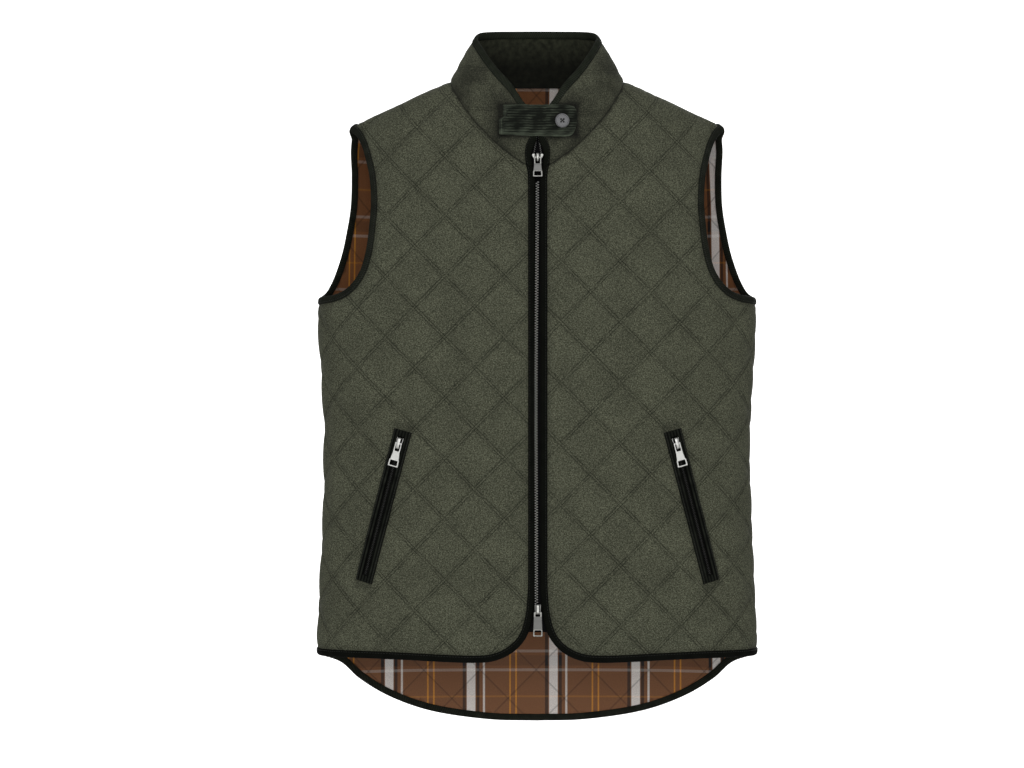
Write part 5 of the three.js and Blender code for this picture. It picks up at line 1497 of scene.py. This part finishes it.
# where each line across the strap stands, and its top and bottom edges there
tab_rows = np.array([
    (-42, -33.2, -64.6), (-41, -32.5, -65.4), (-31, -32.3, -66), (-20, -32, -66.5), (-10, -32, -66.8),
    (0, -32, -67), (10, -32, -67.3), (20, -32.2, -67.8), (30, -32.5, -68), (34.5, -32.8, -67.7),
    (37.5, -33.5, -66.2), (40, -35.2, -62.8), (41.7, -38.4, -57.6), (42.6, -43, -52.4),
])
tab_left, tab_right, tab_base = -42, 42.6, 3.1
rib_width = 2.85
xs = np.r_[np.linspace(tab_left, -36, 22)[:-1], np.linspace(-36, 34, 70)[:-1],
           np.linspace(34, tab_right, 30)]
tops, bottoms = (np.interp(xs, tab_rows[:, 0], tab_rows[:, k]) for k in (1, 2))
shares = np.linspace(0, 1, 97)
grid_x = np.repeat(xs[:, None], len(shares), axis=1)
grid_z = bottoms[:, None] + (tops - bottoms)[:, None] * shares[None, :]
to_long_edge = np.minimum(tops[:, None] - grid_z, grid_z - bottoms[:, None])
to_rim = np.minimum(to_long_edge, np.minimum(grid_x - tab_left, tab_right + 0.6 - grid_x))
# The folded end is crooked: its lower half was sewn down further out.
crooked = (4.4 - 4.6 * soft_step(-grid_z, 45.5, 49.5)) * soft_step(-grid_x, 30, 41)
folded = soft_step(-grid_x, 36.6, 37.6)
along_rib, on_fold = (
    (0.5 + 0.5 * np.cos(2 * math.pi * way / rib_width)) ** 0.7 for way in (grid_z + 49.7, grid_x - tab_left)
)
rib = along_rib * (1 - folded) + on_fold * folded
round_off = np.sqrt(np.clip(1 - (1 - np.clip(to_rim / 1.1, 0, 1)) ** 2, 0, 1))
at = np.stack([grid_x, grid_z * 1.6], axis=-1).reshape(-1, 2)
slack = (0.5 * waves(71, at, 34) + 0.22 * waves(72, at, 13)).reshape(grid_x.shape) * (1 - 0.7 * folded)
pressed_and_painted_shade = -0.5 * np.exp(-((grid_x - 26.7) ** 2 + (grid_z + 50.5) ** 2) / 110)  # round the button
high = tab_base + (1.5 + 0.38 * rib + 0.7 * folded + slack) * round_off + pressed_and_painted_shade
turn, share = collar_seen(grid_x + crooked, grid_z)
top = place_on_collar(turn, share, high)
low = place_on_collar(turn, share, 2.9 + slack * 0.3)
# It bridges the gap between the collar's two ends in one smooth stretch.
gap = np.flatnonzero(np.abs(xs) < 9)
first, last = gap[0] - 1, gap[-1] + 1
way = ((xs[gap] - xs[first]) / (xs[last] - xs[first]))[:, None]
for layer, relief in ((top, high - tab_base), (low, slack * 0.3)):
    flat = layer[..., 1] + relief
    layer[gap, :, 1] = flat[first] * (1 - way) + flat[last] * way - 1.6 * way * (1 - way) - relief[gap]
    layer[gap, :, 0], layer[gap, :, 2] = grid_x[gap], grid_z[gap]
# Painted highlight along the two long edges, on the fold and low down, and painted shade across the middle.
tab_highlight_and_shade = 0.34 * np.exp(-to_long_edge / 1.6) + 0.1 * folded + 0.12 * soft_step(-grid_z, 57, 63) - 0.06
tab_highlight_and_shade += 0.1 * waves(73, at * (0.35, 1.3), 9).reshape(grid_x.shape)
tab_highlight_and_shade -= 0.1 * np.exp(-((grid_x - 10) / 30) ** 2 - ((grid_z + 46) / 9) ** 2)
tab = new_piece("corduroy_tab", "vest", "throat_tab", [low, top], grid_layer(*high.shape),
                [cord_cloth], {"strip": (grid_x * MM, grid_z * MM), "rib": (rib, tab_highlight_and_shade)})
# Two rows of stitches hold the folded end.
fold_rows = [top[np.argmin(np.abs(xs - x)), 6:-6] for x in (-40.6, -36.2)]
stitch_piece("tab_stitches", [
    stitch_row(row, np.tile([0.0, -1.0, 0.0], (len(row), 1)), pitch=2.9, length=2.1) for row in fold_rows
])


# Its button: grey horn resin, turned with a raised rim and a dished middle, sewn through four holes
# with crossed dark thread.

horn, tree = new_material("grey_horn_resin")  # cloudy and smooth, with a low even shine
clouds = add_node(tree, "TexNoise", {"Scale": 260.0, "Detail": 3.0, "Distortion": 1.2})["Fac"]
tones = add_node(tree, "ValToRGB", {"Fac": clouds}, [(0.35, "#4e4e50"), (0.65, "#6e6e70")])["Color"]
resin = add_node(tree, "BsdfPrincipled", {"Base Color": tones, "Roughness": 0.34, "IOR": 1.56})
add_node(tree, "OutputMaterial", {"Surface": resin["BSDF"]})

button_thread, tree = new_material("polyester_thread")  # twisted and slightly glossy
twist = add_node(tree, "TexWave", {"Scale": 900.0, "Distortion": 1.0})["Fac"]
bump = add_node(tree, "Bump", {"Height": twist, "Strength": 0.4, "Distance": 0.0001})["Normal"]
strands = add_node(tree, "BsdfPrincipled", {
    "Base Color": linear("#14150f"), "Roughness": 0.6, "IOR": 1.57, "Normal": bump,
})
add_node(tree, "OutputMaterial", {"Surface": strands["BSDF"]})

button_x, button_z, button_radius, button_out = 26.7, -50.5, 8.0, 4.8
hole_at, hole_radius, rim_radius = 1.5, 0.85, 0.85
turn, share = collar_seen(button_x, button_z)
seat, above = (place_on_collar(turn, share, t) for t in (button_out, button_out + 1))
out = above - seat
right = unit(np.cross((0, 0, 1), out))
button_frame = seat, np.stack([right, np.cross(out, right), out])


def circle(x, y, radius, steps):
    turns = np.linspace(0, 2 * math.pi, steps, endpoint=False)
    return [(x + radius * math.cos(a), y + radius * math.sin(a)) for a in turns]


holes = [circle(i * hole_at, j * hole_at, hole_radius, 14) for i in (-1, 1) for j in (-1, 1)]
disc = cast_plate(circle(0, 0, button_radius, 72), holes, 0, 2.15, 0.6, hole_share=0.4)
round_rim = np.array([(*at, 2.05) for at in circle(0, 0, button_radius - 1.0, 72)])
rim_ways = round_rim * (1, 1, 0) / (button_radius - 1.0)
rim = np.stack([
    round_rim + x * rim_ways + (0, 0, z) for x, z in circle(0, 0, rim_radius, 12)
], axis=1)
cast_piece("horn_button", "vest", "tab_button",
           [(*disc, 0), (rim.reshape(-1, 3), swept_faces(*rim.shape[:2], True), 0)], button_frame, [horn])

thread_parts, thread_radius = [], 0.24
for lift, far in ((0.0, (1, 1)), (0.35, (1, -1))):
    for off in (-0.22, 0.22):
        flat = np.array(far, float) * hole_at
        aside = np.array([-flat[1], flat[0]]) / np.linalg.norm(flat) * off
        path = np.array([
            (*(flat * s + aside), 2.0 + lift * (1 - s * s) + 0.55 * (1 - s ** 6) - 1.2 * abs(s) ** 12)
            for s in np.linspace(-1, 1, 15)
        ])
        ahead = unit(np.gradient(path, axis=0))
        beside = unit(np.cross(ahead, (0.13, 0.31, 0.94)))
        above = np.cross(beside, ahead)
        ring = circle(0, 0, thread_radius, 8)
        sections = np.stack([path + a * beside + b * above for a, b in ring], axis=1)
        thread_parts.append((sections.reshape(-1, 3), swept_faces(*sections.shape[:2]), 0))
cast_piece("button_thread", "vest", None, thread_parts, button_frame, [button_thread])
